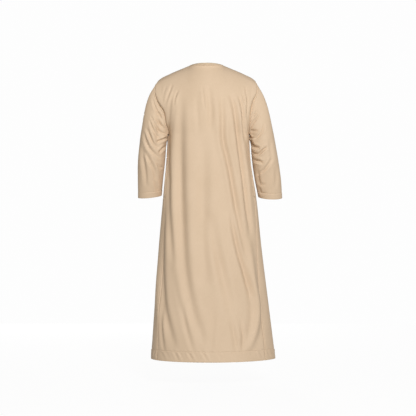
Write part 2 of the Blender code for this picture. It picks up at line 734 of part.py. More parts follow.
def button_mesh(centre, facing):
    """A flat round button standing on a point of the placket."""
    up = Vector((0, 0, 1))
    side = facing.cross(up).normalized()
    up = side.cross(facing).normalized()
    points = []
    for height in (0.0, BUTTON_HEIGHT):
        for step in range(BUTTON_SIDES):
            turn = 2 * math.pi * step / BUTTON_SIDES
            reach = side * math.cos(turn) + up * math.sin(turn)
            points.append(centre + facing * height + reach * BUTTON_RADIUS)
    points.append(centre)
    points.append(centre + facing * BUTTON_HEIGHT)
    faces = []
    for step in range(BUTTON_SIDES):
        after = (step + 1) % BUTTON_SIDES
        high, high_after = step + BUTTON_SIDES, after + BUTTON_SIDES
        faces += [(step, after, high_after), (step, high_after, high)]
        faces += [(2 * BUTTON_SIDES, after, step), (2 * BUTTON_SIDES + 1, high, high_after)]
    return np.array(points), faces


# Buttons down the middle of the placket

spine = placket[:, 1]
spine_facing = front_normals[front_grid[:, middle, 2] > PLACKET_LOW_Z, middle]
for number in range(BUTTONS):
    level = BUTTON_TOP_Z - BUTTON_SPACING * number
    spot = Vector([np.interp(level, spine[:, 2], spine[:, axis]) for axis in range(3)])
    facing = Vector([np.interp(level, spine[:, 2], spine_facing[:, axis]) for axis in range(3)])
    facing.normalize()
    make_piece(f"button_{number + 1}", *button_mesh(spot + facing * SEAM_GAP, facing), button_resin)
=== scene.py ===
import math

import bpy
import numpy as np
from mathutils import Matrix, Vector


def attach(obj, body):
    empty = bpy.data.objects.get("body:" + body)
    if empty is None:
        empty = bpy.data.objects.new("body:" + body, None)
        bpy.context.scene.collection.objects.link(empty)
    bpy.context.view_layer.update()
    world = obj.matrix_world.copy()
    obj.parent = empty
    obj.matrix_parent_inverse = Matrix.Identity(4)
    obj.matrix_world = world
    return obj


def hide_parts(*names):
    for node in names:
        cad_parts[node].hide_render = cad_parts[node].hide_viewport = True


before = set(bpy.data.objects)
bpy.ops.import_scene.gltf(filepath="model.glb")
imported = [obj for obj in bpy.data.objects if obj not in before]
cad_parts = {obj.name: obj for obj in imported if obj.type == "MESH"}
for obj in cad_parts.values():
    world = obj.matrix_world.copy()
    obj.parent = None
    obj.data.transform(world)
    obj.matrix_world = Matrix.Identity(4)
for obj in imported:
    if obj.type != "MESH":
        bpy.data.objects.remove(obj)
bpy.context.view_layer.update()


# Floor, lights and camera
# A white studio floor that throws no light on the robe, a backdrop that is dimmer
# from above, two broad soft lights, and a level camera behind the robe, as far
# off as a full-length portrait needs.

FLOOR_Z = -1.587            # level of the floor, a little below the hem
FLOOR_SIZE = 7.0
FLOOR_COLOUR = (0.04, 0.04, 0.04, 1.0)
FLOOR_GLOW = 0.945
BACKDROP_SEEN = 0.985       # brightness of the backdrop in the picture
BACKDROP_LIGHT = 0.50       # and of the light that it gives from the sides
CEILING_SHARE = 0.42        # share of that light that comes from straight above
DIMMING = (0.05, 0.75)      # upward slants between which it falls to that share
CAMERA_PLACE = (-0.010, 6.86, -0.707)
CAMERA_LENS = 118.0


def fed(tree, node, inputs):
    """Sets a node's inputs to plain values or links them to other nodes."""
    for name, value in inputs.items():
        if isinstance(value, bpy.types.NodeSocket):
            tree.links.new(value, node.inputs[name])
        else:
            node.inputs[name].default_value = value
    return node


def added(tree, kind, inputs):
    """A new node of a tree with its inputs set."""
    return fed(tree, tree.nodes.new(kind), inputs)


def new_material(name):
    """A new material with its node tree and its shader."""
    material = bpy.data.materials.new(name)
    material.use_nodes = True
    return material, material.node_tree, material.node_tree.nodes["Principled BSDF"]


floor_mesh = bpy.data.meshes.new("studio_floor")
half = FLOOR_SIZE / 2
floor_mesh.from_pydata(
    [(-half, -half, FLOOR_Z), (half, -half, FLOOR_Z), (half, half, FLOOR_Z), (-half, half, FLOOR_Z)],
    [],
    [(0, 1, 2, 3)],
)
studio_floor = bpy.data.objects.new("studio_floor", floor_mesh)
bpy.context.scene.collection.objects.link(studio_floor)
floor_paint, tree, shader = new_material("floor_paint")
fed(tree, shader, {
    "Base Color": FLOOR_COLOUR,
    "Roughness": 0.9,
    "Specular IOR Level": 0.0,
    "Emission Color": (1.0, 1.0, 1.0, 1.0),
    "Emission Strength": FLOOR_GLOW,
})
floor_mesh.materials.append(floor_paint)
studio_floor.visible_diffuse = False

world = bpy.data.worlds.new("studio_backdrop")
bpy.context.scene.world = world
world.use_nodes = True
tree = world.node_tree
tree.nodes.clear()
way = added(tree, "ShaderNodeTexCoord", {})
height = added(tree, "ShaderNodeSeparateXYZ", {"Vector": way.outputs["Generated"]})
dimmer = added(tree, "ShaderNodeMapRange", {
    "Value": height.outputs["Z"],
    "From Min": DIMMING[0],
    "From Max": DIMMING[1],
    "To Min": BACKDROP_LIGHT,
    "To Max": BACKDROP_LIGHT * CEILING_SHARE,
})
giving = added(tree, "ShaderNodeBackground", {
    "Color": (1.0, 0.95, 0.86, 1.0),
    "Strength": dimmer.outputs["Result"],
})
seen = added(tree, "ShaderNodeBackground", {"Color": (1.0, 1.0, 1.0, 1.0), "Strength": BACKDROP_SEEN})
rays = added(tree, "ShaderNodeLightPath", {})
choice = added(tree, "ShaderNodeMixShader", {
    "Fac": rays.outputs["Is Camera Ray"],
    1: giving.outputs["Background"],
    2: seen.outputs["Background"],
})
added(tree, "ShaderNodeOutputWorld", {"Surface": choice.outputs["Shader"]})


def soft_light(name, place, aim, size, watts):
    """A broad square studio light that faces a point."""
    lamp = bpy.data.lights.new(name, "AREA")
    lamp.shape = "SQUARE"
    lamp.size = size
    lamp.energy = watts
    light = bpy.data.objects.new(name, lamp)
    light.visible_camera = False
    light.location = place
    way = Vector(aim) - Vector(place)
    light.rotation_euler = way.to_track_quat("-Z", "Y").to_euler()
    bpy.context.scene.collection.objects.link(light)


soft_light("back_light", (-1.2, 6.2, 2.2), (0.0, 0.0, -0.7), 1.6, 375)
soft_light("front_light", (0.9, -4.8, 0.5), (0.0, 0.0, -0.7), 1.4, 165)

camera_lens = bpy.data.cameras.new("portrait_camera")
camera_lens.lens = CAMERA_LENS
camera_lens.sensor_width = 36.0
camera = bpy.data.objects.new("portrait_camera", camera_lens)
camera.location = CAMERA_PLACE
camera.rotation_euler = (math.radians(90), 0.0, math.radians(180))
bpy.context.scene.collection.objects.link(camera)
bpy.context.scene.camera = camera
bpy.context.scene.view_settings.view_transform = "Standard"


# Back panel
# The back is cut in one piece of soft beige suiting from the shoulders to the
# hem.  It hangs from the shoulders in long uneven folds, and its lower edge is
# turned up 50 mm and stitched.

ARMPIT_Z = -0.335           # level of the underarm
HEM_Z = -1.461              # level of the hem
HEM_TURN = 0.050            # height of the turned hem
CLOTH = 0.0007              # thickness of the suiting
TURN_GAP = 0.0016           # from the face of the cloth to the face of its turned edge
SHOULDER_Y = -0.010         # the shoulder seams lie a little to the front
SHOULDER_TIP = 0.249
SHOULDER_SHIFT = -0.003     # the shoulders sit a little to the robe's right side
SHOULDER_SHARE = 11 / 36    # share of a panel's width that goes into each shoulder seam
NECK_HALF = 0.085
NECK_Z = 0.0105
NECK_REACH = {"back": 0.066, "front": -0.088}
NECK_DROP = {"back": 0.002, "front": 0.080}
NECK_ARCH = math.radians(62)       # turn of the cloth from the underarm up to the neckline
SHOULDER_ARCH = math.radians(84)   # and up to the shoulder seams
ARCH_CHANGE = (0.010, 0.210)       # distances from the middle between which it changes
EDGE_FADE = 5                      # how fast the pull of the armhole seams fades inward
CORNER_SOFTNESS = 0.10             # share of a panel over which the neck corners are rounded
CORNER_FADE = 20                   # how fast their rounding grows below the neckline
FOLD_FADE = 0.045                  # depth over which the folds fade towards the sides
FOLD_STEPS = 24                    # straight steps along the path of a fold
FOLD_FULLNESS = 0.6                # how soon a fold reaches its full depth from its ends
SECTION_POINTS = 400               # points of a finely drawn section
SKIRT_ROWS = 112                   # rows of points between the hem and the underarm
YOKE_ROWS = 64                     # and from there up to the shoulders
SIDE_COLUMNS = 72                  # columns of points below one shoulder
MIDDLE_COLUMNS = 60                # and below the neckline
EDGE_STEPS = (0.0, 0.001, 0.002, 0.0035, 0.005, 0.006, 0.007, 0.009, 0.012)
SEAM_SINK = 0.0028                 # how deep the cloth rolls in at a seam
SEAM_ROLL = 0.0026                 # and over what width
STITCH_SINK = 0.0011               # how deep a row of stitches pulls the cloth in
STITCH_ROLL = 0.0016
SHOULDER_STITCH = 0.006            # from the shoulder seams to the row of stitches below them
TURN_RISE = 0.0006                 # how far a turned edge raises the face of the cloth
HEM_TURN_ROWS = 12                 # rows of points that the turned hem takes
HEM_PUCKER = 0.0026                # depth of the puckers that the hem's stitches make
HEM_SLANT = 0.55                   # how far they lean round the robe on their way up
HEM_WAVES = ((0.0056, 0.0, 0.6), (0.0037, 1.3, 0.5))   # their two waves: length, start and share
HEM_CHANGE = (0.071, 0.6)          # length and start of the wave that makes them uneven
ARMHOLE_SINK = 0.0060              # how deep the armhole seams pull the cloth in behind
ARMHOLE_ROLL = 0.0065              # and over what width on the body
ARMHOLE_FADE = 0.030               # depth over which that starts behind the underarm
ARMHOLE_SUNK = (-0.205, 0.065)     # level of the deepest place and half its height

# Level, left edge, right edge, back, front, squareness left and right, and how
# far the gore seams lie from the middle of the side
BODY_ROWS = {
    "z":      (-1.461, -1.140, -0.900, -0.656, -0.475, -0.335),
    "left":   (0.2762, 0.2545, 0.2375, 0.2160, 0.2000, 0.1920),
    "right":  (-0.3486, -0.3083, -0.2785, -0.2530, -0.2250, -0.2165),
    "back":   (0.207, 0.174, 0.156, 0.143, 0.140, 0.138),
    "front":  (-0.196, -0.172, -0.158, -0.150, -0.142, -0.132),
    "square_left":  (2.15, 2.15, 2.20, 2.20, 2.25, 2.30),
    "square_right": (1.75, 1.85, 1.95, 2.10, 2.20, 2.30),
    "gore":   (0.100, 0.079, 0.062, 0.046, 0.034, 0.025),
}

# Shoulder seam: distance from the middle and level
SHOULDER_ROWS = {
    "out": (0.085, 0.200, 0.227, 0.249),
    "z":   (0.0105, -0.0390, -0.0525, -0.070),
}

# Armhole seams between the underarm and the shoulder tip, from below upward
ARMHOLE_ROWS = {
    ("back", "left"): {
        "x": (0.2000, 0.2130, 0.2410, 0.2560, 0.2540),
        "y": (0.056, 0.070, 0.067, 0.047, 0.022),
        "z": (-0.285, -0.227, -0.177, -0.127, -0.089),
    },
    ("back", "right"): {
        "x": (-0.2200, -0.2240, -0.2340, -0.2550, -0.2565),
        "y": (0.056, 0.070, 0.067, 0.047, 0.022),
        "z": (-0.290, -0.232, -0.179, -0.126, -0.089),
    },
    ("front", "left"): {
        "x": (0.1960, 0.2040, 0.2240, 0.2420, 0.2465),
        "y": (-0.060, -0.076, -0.072, -0.054, -0.034),
        "z": (-0.290, -0.235, -0.180, -0.124, -0.087),
    },
    ("front", "right"): {
        "x": (-0.2190, -0.2200, -0.2310, -0.2480, -0.2520),
        "y": (-0.060, -0.076, -0.072, -0.054, -0.034),
        "z": (-0.290, -0.235, -0.180, -0.124, -0.087),
    },
}

# Folds of the back: x and z of the path from above down, half width, depth.
# A depth below zero is a ridge.
BACK_FOLDS = (
    # the long folds of the left half, from its middle outward
    ((0.124, 0.123, 0.122, 0.116, 0.096, 0.064, 0.004), (-0.15, -0.33, -0.55, -0.77, -1.06, -1.21, -1.38),
     0.022, 0.0115),
    ((0.142, 0.140, 0.138, 0.136, 0.122, 0.090, 0.050), (-0.22, -0.36, -0.55, -0.77, -1.06, -1.21, -1.30),
     0.018, 0.0045),
    ((0.156, 0.168, 0.180, 0.186, 0.180, 0.168, 0.158), (-0.18, -0.25, -0.36, -0.60, -0.77, -0.91, -0.99),
     0.015, 0.0080),
    ((0.154, 0.150, 0.121, 0.096), (-1.00, -1.062, -1.21, -1.34), 0.014, 0.0020),
    ((0.202, 0.214, 0.222, 0.220, 0.206, 0.182, 0.152), (-0.58, -0.77, -0.91, -1.06, -1.21, -1.30, -1.40),
     0.018, 0.0115),
    ((0.150, 0.168, 0.179, 0.186, 0.192, 0.194, 0.192), (-0.13, -0.16, -0.19, -0.25, -0.30, -0.40, -0.56),
     0.011, 0.0085),
    # a broad shallow one down the middle, and its faint neighbours
    ((0.010, 0.014, 0.010, 0.002), (-0.36, -0.60, -0.86, -1.12), 0.030, 0.0080),
    ((-0.030, -0.052, -0.088, -0.128), (-0.74, -0.91, -1.06, -1.24), 0.024, 0.0090),
    ((0.046, 0.042, 0.034), (-0.15, -0.24, -0.34), 0.012, 0.0018),
    ((0.018, 0.012, 0.003), (-0.10, -0.16, -0.23), 0.006, 0.0024),
    ((-0.010, -0.018, -0.024, -0.022), (-0.10, -0.16, -0.24, -0.33), 0.015, 0.0050),
    # the long folds of the right half, from its middle outward
    ((-0.078, -0.082, -0.086, -0.108, -0.131, -0.151, -0.168, -0.196),
     (-0.15, -0.26, -0.38, -0.47, -0.59, -0.71, -0.81, -0.95), 0.014, 0.0115),
    ((-0.120, -0.139, -0.147, -0.158, -0.166, -0.176, -0.188, -0.204, -0.222),
     (-0.14, -0.21, -0.26, -0.34, -0.40, -0.47, -0.56, -0.71, -0.84), 0.012, 0.0140),
    ((-0.124, -0.138, -0.158, -0.192, -0.226), (-0.72, -0.82, -0.914, -1.03, -1.15), 0.013, 0.0115),
    ((-0.210, -0.217, -0.235, -0.256, -0.254, -0.239, -0.217, -0.192),
     (-0.865, -0.914, -1.062, -1.21, -1.259, -1.333, -1.382, -1.417), 0.018, -0.0130),
    ((-0.166, -0.176, -0.184, -0.186, -0.192), (-0.15, -0.19, -0.24, -0.30, -0.38), 0.009, 0.0100),
    # short folds that fan out below the shoulders
    ((0.224, 0.222, 0.214), (-0.09, -0.143, -0.19), 0.0055, 0.0040),
    ((0.199, 0.211, 0.214), (-0.10, -0.135, -0.18), 0.0055, 0.0050),
    ((0.168, 0.185, 0.196, 0.206), (-0.09, -0.138, -0.17, -0.21), 0.0065, 0.0065),
    ((0.138, 0.152, 0.160), (-0.12, -0.155, -0.20), 0.0060, 0.0040),
    ((-0.182, -0.190, -0.201), (-0.14, -0.175, -0.22), 0.0060, 0.0075),
    ((-0.196, -0.202, -0.206), (-0.10, -0.150, -0.20), 0.0055, 0.0085),
    ((-0.212, -0.208, -0.202), (-0.13, -0.190, -0.26), 0.0060, 0.0130),
    ((-0.228, -0.225, -0.216), (-0.09, -0.140, -0.20), 0.0055, 0.0060),
    # short ones near the hem
    ((0.222, 0.218, 0.206), (-1.18, -1.330, -1.42), 0.009, 0.0045),
    ((0.118, 0.094, 0.060), (-1.18, -1.300, -1.42), 0.012, 0.0035),
    ((-0.118, -0.137, -0.150), (-1.24, -1.330, -1.42), 0.012, 0.0045),
    ((-0.168, -0.182, -0.178), (-1.26, -1.335, -1.41), 0.010, 0.0040),
    ((-0.040, -0.030, -0.020), (-1.20, -1.310, -1.42), 0.016, 0.0030),
)


def eased(start, leaving, end, arriving, part):
    """A cubic from one value to another, with a pull where it leaves and where it arrives."""
    return (
        start * (2 * part**3 - 3 * part**2 + 1)
        + leaving * (part**3 - 2 * part**2 + part)
        + end * (3 * part**2 - 2 * part**3)
        + arriving * (part**3 - part**2)
    )


def smooth_row(stations, values, wanted):
    """Cubic curve through a table row: the value at each wanted station."""
    stations = np.asarray(stations, dtype=float)
    values = np.asarray(values, dtype=float)
    slopes = np.gradient(values, stations, axis=0)
    place = np.clip(np.searchsorted(stations, wanted) - 1, 0, len(stations) - 2)
    width = stations[place + 1] - stations[place]
    part = np.clip((wanted - stations[place]) / width, 0.0, 1.0)
    leaving = slopes[place] * width
    arriving = slopes[place + 1] * width
    return eased(values[place], leaving, values[place + 1], arriving, part)


def even_points(curve, shares):
    """The points at the given shares of a curve's length."""
    steps = np.linalg.norm(np.diff(curve, axis=0), axis=1)
    run = np.concatenate(([0.0], np.cumsum(steps)))
    axes = range(curve.shape[1])
    return np.stack([np.interp(shares * run[-1], run, curve[:, axis]) for axis in axes], axis=1)


def along_path(points, count):
    """A smooth curve through a few points, read at even shares of its length."""
    points = np.asarray(points, dtype=float)
    chords = np.linalg.norm(np.diff(points, axis=0), axis=1)
    stations = np.concatenate(([0.0], np.cumsum(chords)))
    fine = np.linspace(0.0, stations[-1], 200)
    axes = range(points.shape[1])
    curve = np.stack([smooth_row(stations, points[:, axis], fine) for axis in axes], axis=1)
    return even_points(curve, np.linspace(0.0, 1.0, count + 1))


def soft_step(value, low, high):
    """Runs smoothly from 0 at low to 1 at high."""
    part = np.clip((value - low) / (high - low), 0.0, 1.0)
    return part * part * (3 - 2 * part)


def unit(vectors):
    """Vectors of length one."""
    return vectors / np.linalg.norm(vectors, axis=-1)[..., None]


def body_size(name, z):
    """One of the body's sizes at a level."""
    return float(smooth_row(BODY_ROWS["z"], BODY_ROWS[name], z))


def body_slice(z, turn):
    """Points of the robe's level section; turn runs from the left over the back."""
    left = body_size("left", z)
    right = body_size("right", z)
    cosine = np.cos(turn)
    sine = np.sin(turn)
    square = np.where(cosine > 0, body_size("square_left", z), body_size("square_right", z))
    deep = np.where(sine > 0, body_size("back", z), -body_size("front", z))
    x = (left + right) / 2 + (left - right) / 2 * np.sign(cosine) * np.abs(cosine) ** (2 / square)
    y = deep * np.sign(sine) * np.abs(sine) ** (2 / square)
    return np.stack([x, y, np.full_like(x, z)], axis=1)


def seam_turns(z, side):
    """Where the gore seams lie on the section of the back or the front."""
    share = body_size("gore", z) / abs(body_size(side, z))
    left = math.asin(share ** (body_size("square_left", z) / 2))
    right = math.pi - math.asin(share ** (body_size("square_right", z) / 2))
    sign = 1 if side == "back" else -1
    return sign * left, sign * right


def skirt_levels():
    """Levels of the rows from the hem up to the underarm, closer at the hem's stitches."""
    low = np.array([0.0, 0.003, 0.009, 0.016, 0.023, 0.030, 0.037, 0.042, 0.0455])
    close = np.arange(0.0475, 0.0545, 0.001)
    rising = np.array([0.0555, 0.058, 0.062, 0.068])
    near_hem = HEM_Z + np.concatenate([low, close, rising])
    count = SKIRT_ROWS - len(near_hem) + 1
    return np.concatenate([near_hem, np.linspace(near_hem[-1], ARMPIT_Z, count + 1)[1:]])


def panel_shares(length):
    """Places of the columns across a panel, closer together beside its seams."""
    edge = np.array(EDGE_STEPS) / length
    side = np.linspace(edge[-1], SHOULDER_SHARE, SIDE_COLUMNS + 1)[1:]
    half_width = np.concatenate([edge, side])
    middle = np.linspace(SHOULDER_SHARE, 1 - SHOULDER_SHARE, MIDDLE_COLUMNS + 1)[1:-1]
    return np.concatenate([half_width, middle, 1 - half_width[::-1]])


def skirt_row(side, z):
    """One level row of the back or front panel, from the left seam to the right."""
    curve = body_slice(z, np.linspace(*seam_turns(z, side), SECTION_POINTS))
    length = np.linalg.norm(np.diff(curve, axis=0), axis=1).sum()
    return even_points(curve, panel_shares(length)), panel_shares(length)


def shoulder_point(hand, share):
    """A point of the shoulder seam, from the tip (0) to the neck point (1)."""
    out = SHOULDER_TIP + (NECK_HALF - SHOULDER_TIP) * share
    z = float(smooth_row(SHOULDER_ROWS["out"], SHOULDER_ROWS["z"], out))
    return np.array([SHOULDER_SHIFT + (out if hand == "left" else -out), SHOULDER_Y, z])


def neck_point(side, share):
    """A point of the neckline, from the left neck point (0) to the right (1)."""
    turn = math.pi * share
    return np.array([
        SHOULDER_SHIFT + NECK_HALF * math.cos(turn),
        SHOULDER_Y + (NECK_REACH[side] - SHOULDER_Y) * math.sin(turn),
        NECK_Z - NECK_DROP[side] * math.sin(turn) ** 1.6,
    ])


def top_point(side, share):
    """A point of a panel's upper edge: shoulder seam, neckline, shoulder seam."""
    if share <= SHOULDER_SHARE:
        return shoulder_point("left", share / SHOULDER_SHARE)
    if share >= 1 - SHOULDER_SHARE:
        return shoulder_point("right", (1 - share) / SHOULDER_SHARE)
    return neck_point(side, (share - SHOULDER_SHARE) / (1 - 2 * SHOULDER_SHARE))


def softened(row):
    """An even row of points with its corners rounded off and its two ends kept."""
    count = len(row)
    before = 2 * row[0] - row[:0:-1]
    after = 2 * row[-1] - row[-2::-1]
    wide = np.vstack([before, row, after])
    place = np.arange(-(count - 1), count) / (count - 1)
    weight = np.exp(-((place / CORNER_SOFTNESS) ** 2) / 2)
    weight /= weight.sum()
    return np.stack([np.convolve(wide[:, axis], weight, "valid") for axis in range(3)], axis=1)


def soft_top_row(side, shares):
    """The upper edge with rounded neck corners, at the given places across."""
    even = np.linspace(0.0, 1.0, SECTION_POINTS + 1)
    soft = softened(np.array([top_point(side, share) for share in even]))
    return np.stack([np.interp(shares, even, soft[:, axis]) for axis in range(3)], axis=1)


def armhole_edge(side, hand, corner, tip):
    """The armhole seam of one panel from its underarm corner to the shoulder tip."""
    rows = ARMHOLE_ROWS[(side, hand)]
    middle = np.stack([rows["x"], rows["y"], rows["z"]], axis=1)
    return along_path(np.vstack([corner, middle, tip]), YOKE_ROWS)


def yoke_rows(side, base, across):
    """The rows of a panel above the underarm, and how much of the folds each point takes."""
    top = np.array([top_point(side, share) for share in across])
    soft_top = soft_top_row(side, across)
    left = armhole_edge(side, "left", base[0], top[0])
    right = armhole_edge(side, "right", base[-1], top[-1])
    near_left = (1 - across) ** EDGE_FADE
    near_right = across**EDGE_FADE
    inside = soft_step(np.minimum(across, 1 - across), 0.0, 1 / EDGE_FADE)
    arch = NECK_ARCH + (SHOULDER_ARCH - NECK_ARCH) * soft_step(np.abs(top[:, 0]), *ARCH_CHANGE)
    rows = []
    calms = []
    for j in range(1, YOKE_ROWS + 1):
        share = j / YOKE_ROWS
        aim = soft_top + (top - soft_top) * share**CORNER_FADE
        lift = np.sin(share * arch) / np.sin(arch)
        lean = (np.cos(share * arch) - np.cos(arch)) / (1 - np.cos(arch))
        row = np.empty_like(base)
        row[:, 0] = base[:, 0] + (aim[:, 0] - base[:, 0]) * share
        row[:, 1] = aim[:, 1] + (base[:, 1] - aim[:, 1]) * lean
        row[:, 2] = base[:, 2] + (aim[:, 2] - base[:, 2]) * lift
        row += near_left[:, None] * (left[j] - row[0])
        row += near_right[:, None] * (right[j] - row[-1])
        row[0] = left[j]
        row[-1] = right[j]
        rows.append(row)
        calms.append((1 + (inside - 1) * soft_step(share, 0.0, 0.3)) * (1 - share**3))
    return rows, calms


def path_distance(path, points):
    """Distance of each point from a path, and its place along the path, 0 to 1."""
    start = path[None, :-1]
    run = (path[1:] - path[:-1])[None]
    reach = points[:, None] - start
    part = np.clip((reach * run).sum(axis=2) / (run * run).sum(axis=2), 0.0, 1.0)
    distance = np.linalg.norm(reach - run * part[:, :, None], axis=2)
    nearest = distance.argmin(axis=1)
    rows = np.arange(len(points))
    return distance[rows, nearest], (nearest + part[rows, nearest]) / (len(path) - 1)


def fold_depth(folds, points):
    """How far the folds move each point in or out, seen square on."""
    moved = np.zeros(len(points))
    for path_x, path_z, width, depth in folds:
        path = along_path(np.stack([path_x, path_z], axis=1), FOLD_STEPS)
        reach = 4 * width
        near = np.all((points > path.min(axis=0) - reach) & (points < path.max(axis=0) + reach), axis=1)
        if not near.any():
            continue
        distance, share = path_distance(path, points[near])
        across = distance / width
        along = np.sin(np.pi * np.clip(share, 0.0, 1.0)) ** FOLD_FULLNESS
        moved[near] -= depth * along * (1 - across**2) * np.exp(-(across**2) / 2)
    return moved


def grid_normals(grid, closed):
    """Normals of a grid of points; closed grids run round in columns."""
    if closed:
        wide = np.concatenate([grid[:, -1:], grid, grid[:, :1]], axis=1)
        across = wide[:, 2:] - wide[:, :-2]
    else:
        across = np.gradient(grid, axis=1)
    return unit(np.cross(across, np.gradient(grid, axis=0)))


def from_edges(grid):
    """Distance of each point from the first and from the last column, along the cloth."""
    steps = np.linalg.norm(np.diff(grid, axis=1), axis=2)
    run = np.concatenate([np.zeros((len(grid), 1)), np.cumsum(steps, axis=1)], axis=1)
    return run, run[:, -1:] - run


def from_top(grid):
    """Distance of each point from the last row, along the cloth."""
    return from_edges(grid.swapaxes(0, 1))[1].T


def dent(distance, width):
    """A narrow rounded dent round distance 0."""
    return np.exp(-((distance / width) ** 2))


def hem_relief(grid, round_robe, from_seam):
    """How the turned hem stands out below its stitches, with the puckers they make."""
    above = grid[..., 2] - HEM_Z
    inside_turn = soft_step(HEM_TURN - above, 0.0, 0.006)
    relief = -STITCH_SINK * dent(above - HEM_TURN, STITCH_ROLL) + TURN_RISE * inside_turn
    slant = round_robe - above * HEM_SLANT
    wave = sum(np.sin(slant / length + start) * share for length, start, share in HEM_WAVES)
    strength = 0.6 + 0.4 * np.sin(round_robe / HEM_CHANGE[0] + HEM_CHANGE[1])
    below = soft_step(HEM_TURN - above, 0.0, 0.010) * soft_step(above, -0.004, 0.030)
    spill = dent(above - HEM_TURN, 0.012) * soft_step(above, HEM_TURN, HEM_TURN + 0.004) * 0.4
    return relief + HEM_PUCKER * wave * strength * (below + spill) * soft_step(from_seam, 0.002, 0.014)


def armhole_groove(grid, from_seam, width):
    """How deep the cloth behind the underarm sinks in at its armhole seam."""
    behind = soft_step(grid[..., 1], 0.0, ARMHOLE_FADE)
    near = dent(grid[..., 2] - ARMHOLE_SUNK[0], ARMHOLE_SUNK[1])
    return ARMHOLE_SINK * dent(from_seam, width) * behind * near


def folds_taken(base, folds, side):
    """How far the folds of one side of the robe move a grid of points in or out."""
    facing = 1 if side == "back" else -1
    amount = fold_depth(folds, base[..., (0, 2)].reshape(-1, 2)).reshape(base.shape[:2])
    return amount, soft_step(facing * base[..., 1], 0.0, FOLD_FADE)


def panel_grid(side, folds):
    """All points of the back or the front panel, and their outward normals."""
    rows = []
    for z in skirt_levels():
        row, across = skirt_row(side, z)
        rows.append(row)
    upper, calms = yoke_rows(side, rows[-1], across)
    base = np.array(rows + upper)
    normals = grid_normals(base, False)
    facing = 1 if side == "back" else -1
    normals *= facing * np.sign(normals[2, base.shape[1] // 2, 1])
    amount, fade = folds_taken(base, folds, side)
    skirt = len(rows)
    blend = soft_step(np.arange(1, YOKE_ROWS + 1) / YOKE_ROWS, 0.0, 0.3)[:, None]
    fade[skirt:] = (fade[skirt:] + (1 - fade[skirt:]) * blend) * np.array(calms)
    left, right = from_edges(base)
    relief = -SEAM_SINK * (dent(left, SEAM_ROLL) + dent(right, SEAM_ROLL))
    relief -= armhole_groove(base, np.minimum(left, right), ARMHOLE_ROLL)
    relief += hem_relief(base, base[..., 0], np.minimum(left, right))
    relief -= STITCH_SINK * dent(from_top(base) - SHOULDER_STITCH, STITCH_ROLL)
    grid = base + normals * (amount * fade + relief)[..., None]
    return grid, normals


def cloth_coordinates(grid, closed):
    """Where each point lies on the flat cloth, in metres."""
    loop = np.concatenate([grid, grid[:, :1]], axis=1) if closed else grid
    across = np.linalg.norm(np.diff(loop, axis=1), axis=2)
    u = np.concatenate([np.zeros((len(grid), 1)), np.cumsum(across, axis=1)], axis=1)
    u -= u[:, u.shape[1] // 2][:, None]
    up = np.linalg.norm(np.diff(loop, axis=0), axis=2).mean(axis=1)
    v = np.concatenate([[0.0], np.cumsum(up)])
    return np.stack([u, np.repeat(v[:, None], u.shape[1], axis=1)], axis=2)


def cloth_piece(name, grid, normals, closed, material, wall=CLOTH, wear=None):
    """A sheet of cloth through a grid of points, its face out, with its thickness inward."""
    rows, columns = grid.shape[:2]
    spans = columns if closed else columns - 1
    flat = cloth_coordinates(grid, closed)
    faces = []
    places = []
    for j in range(rows - 1):
        for i in range(spans):
            k = (i + 1) % columns
            low = j * columns
            high = low + columns
            faces.append((low + i, low + k, high + k, high + i))
            places.append((flat[j, i], flat[j, i + 1], flat[j + 1, i + 1], flat[j + 1, i]))
    middle = (rows // 2, columns // 2)
    ahead = grid[middle[0], middle[1] + 1] - grid[middle]
    above = grid[middle[0] + 1, middle[1]] - grid[middle]
    if np.dot(np.cross(ahead, above), normals[middle]) < 0:
        faces = [face[::-1] for face in faces]
        places = [place[::-1] for place in places]
    mesh = bpy.data.meshes.new(name)
    mesh.from_pydata(grid.reshape(-1, 3).tolist(), [], faces)
    layer = mesh.uv_layers.new(name="flat_cloth")
    layer.data.foreach_set("uv", np.array(places, dtype=np.float32).ravel())
    worn = mesh.attributes.new("wear", "FLOAT", "POINT")
    if wear is not None:
        worn.data.foreach_set("value", wear.astype(np.float32).ravel())
    mesh.shade_smooth()
    mesh.materials.append(material)
    piece = bpy.data.objects.new(name, mesh)
    bpy.context.scene.collection.objects.link(piece)
    thickness = piece.modifiers.new("cloth_thickness", "SOLIDIFY")
    thickness.thickness = wall
    thickness.offset = -1.0
    thickness.use_rim = True
    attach(piece, "root")
    return piece


def turned_edge(grid, normals, turn_rows):
    """Rows of the cloth turned up inside, from its raw edge down and round the fold."""
    inside = grid[1:turn_rows + 1][::-1] - normals[1:turn_rows + 1][::-1] * TURN_GAP
    down = unit(grid[0] - grid[1])
    rounds = []
    for turn in (150, 120, 90, 60, 30):
        angle = math.radians(turn)
        inward = -normals[0] * (1 - math.cos(angle)) * TURN_GAP / 2
        rounds.append(grid[0] + (inward + down * math.sin(angle) * TURN_GAP / 2))
    rows = np.concatenate([inside, np.array(rounds), grid])
    flipped = -normals[1:turn_rows + 1][::-1]
    edge = np.repeat(normals[:1], len(rounds), axis=0)
    return rows, np.concatenate([flipped, edge, normals])


def worn_places(grid, low_edge):
    """Where the cloth is rubbed: along its lowest edge and a little at its seams."""
    left, right = from_edges(grid)
    rubbed = dent(low_edge, 0.004)
    return np.clip(rubbed + 0.5 * dent(np.minimum(left, right), 0.003), 0.0, 1.0)


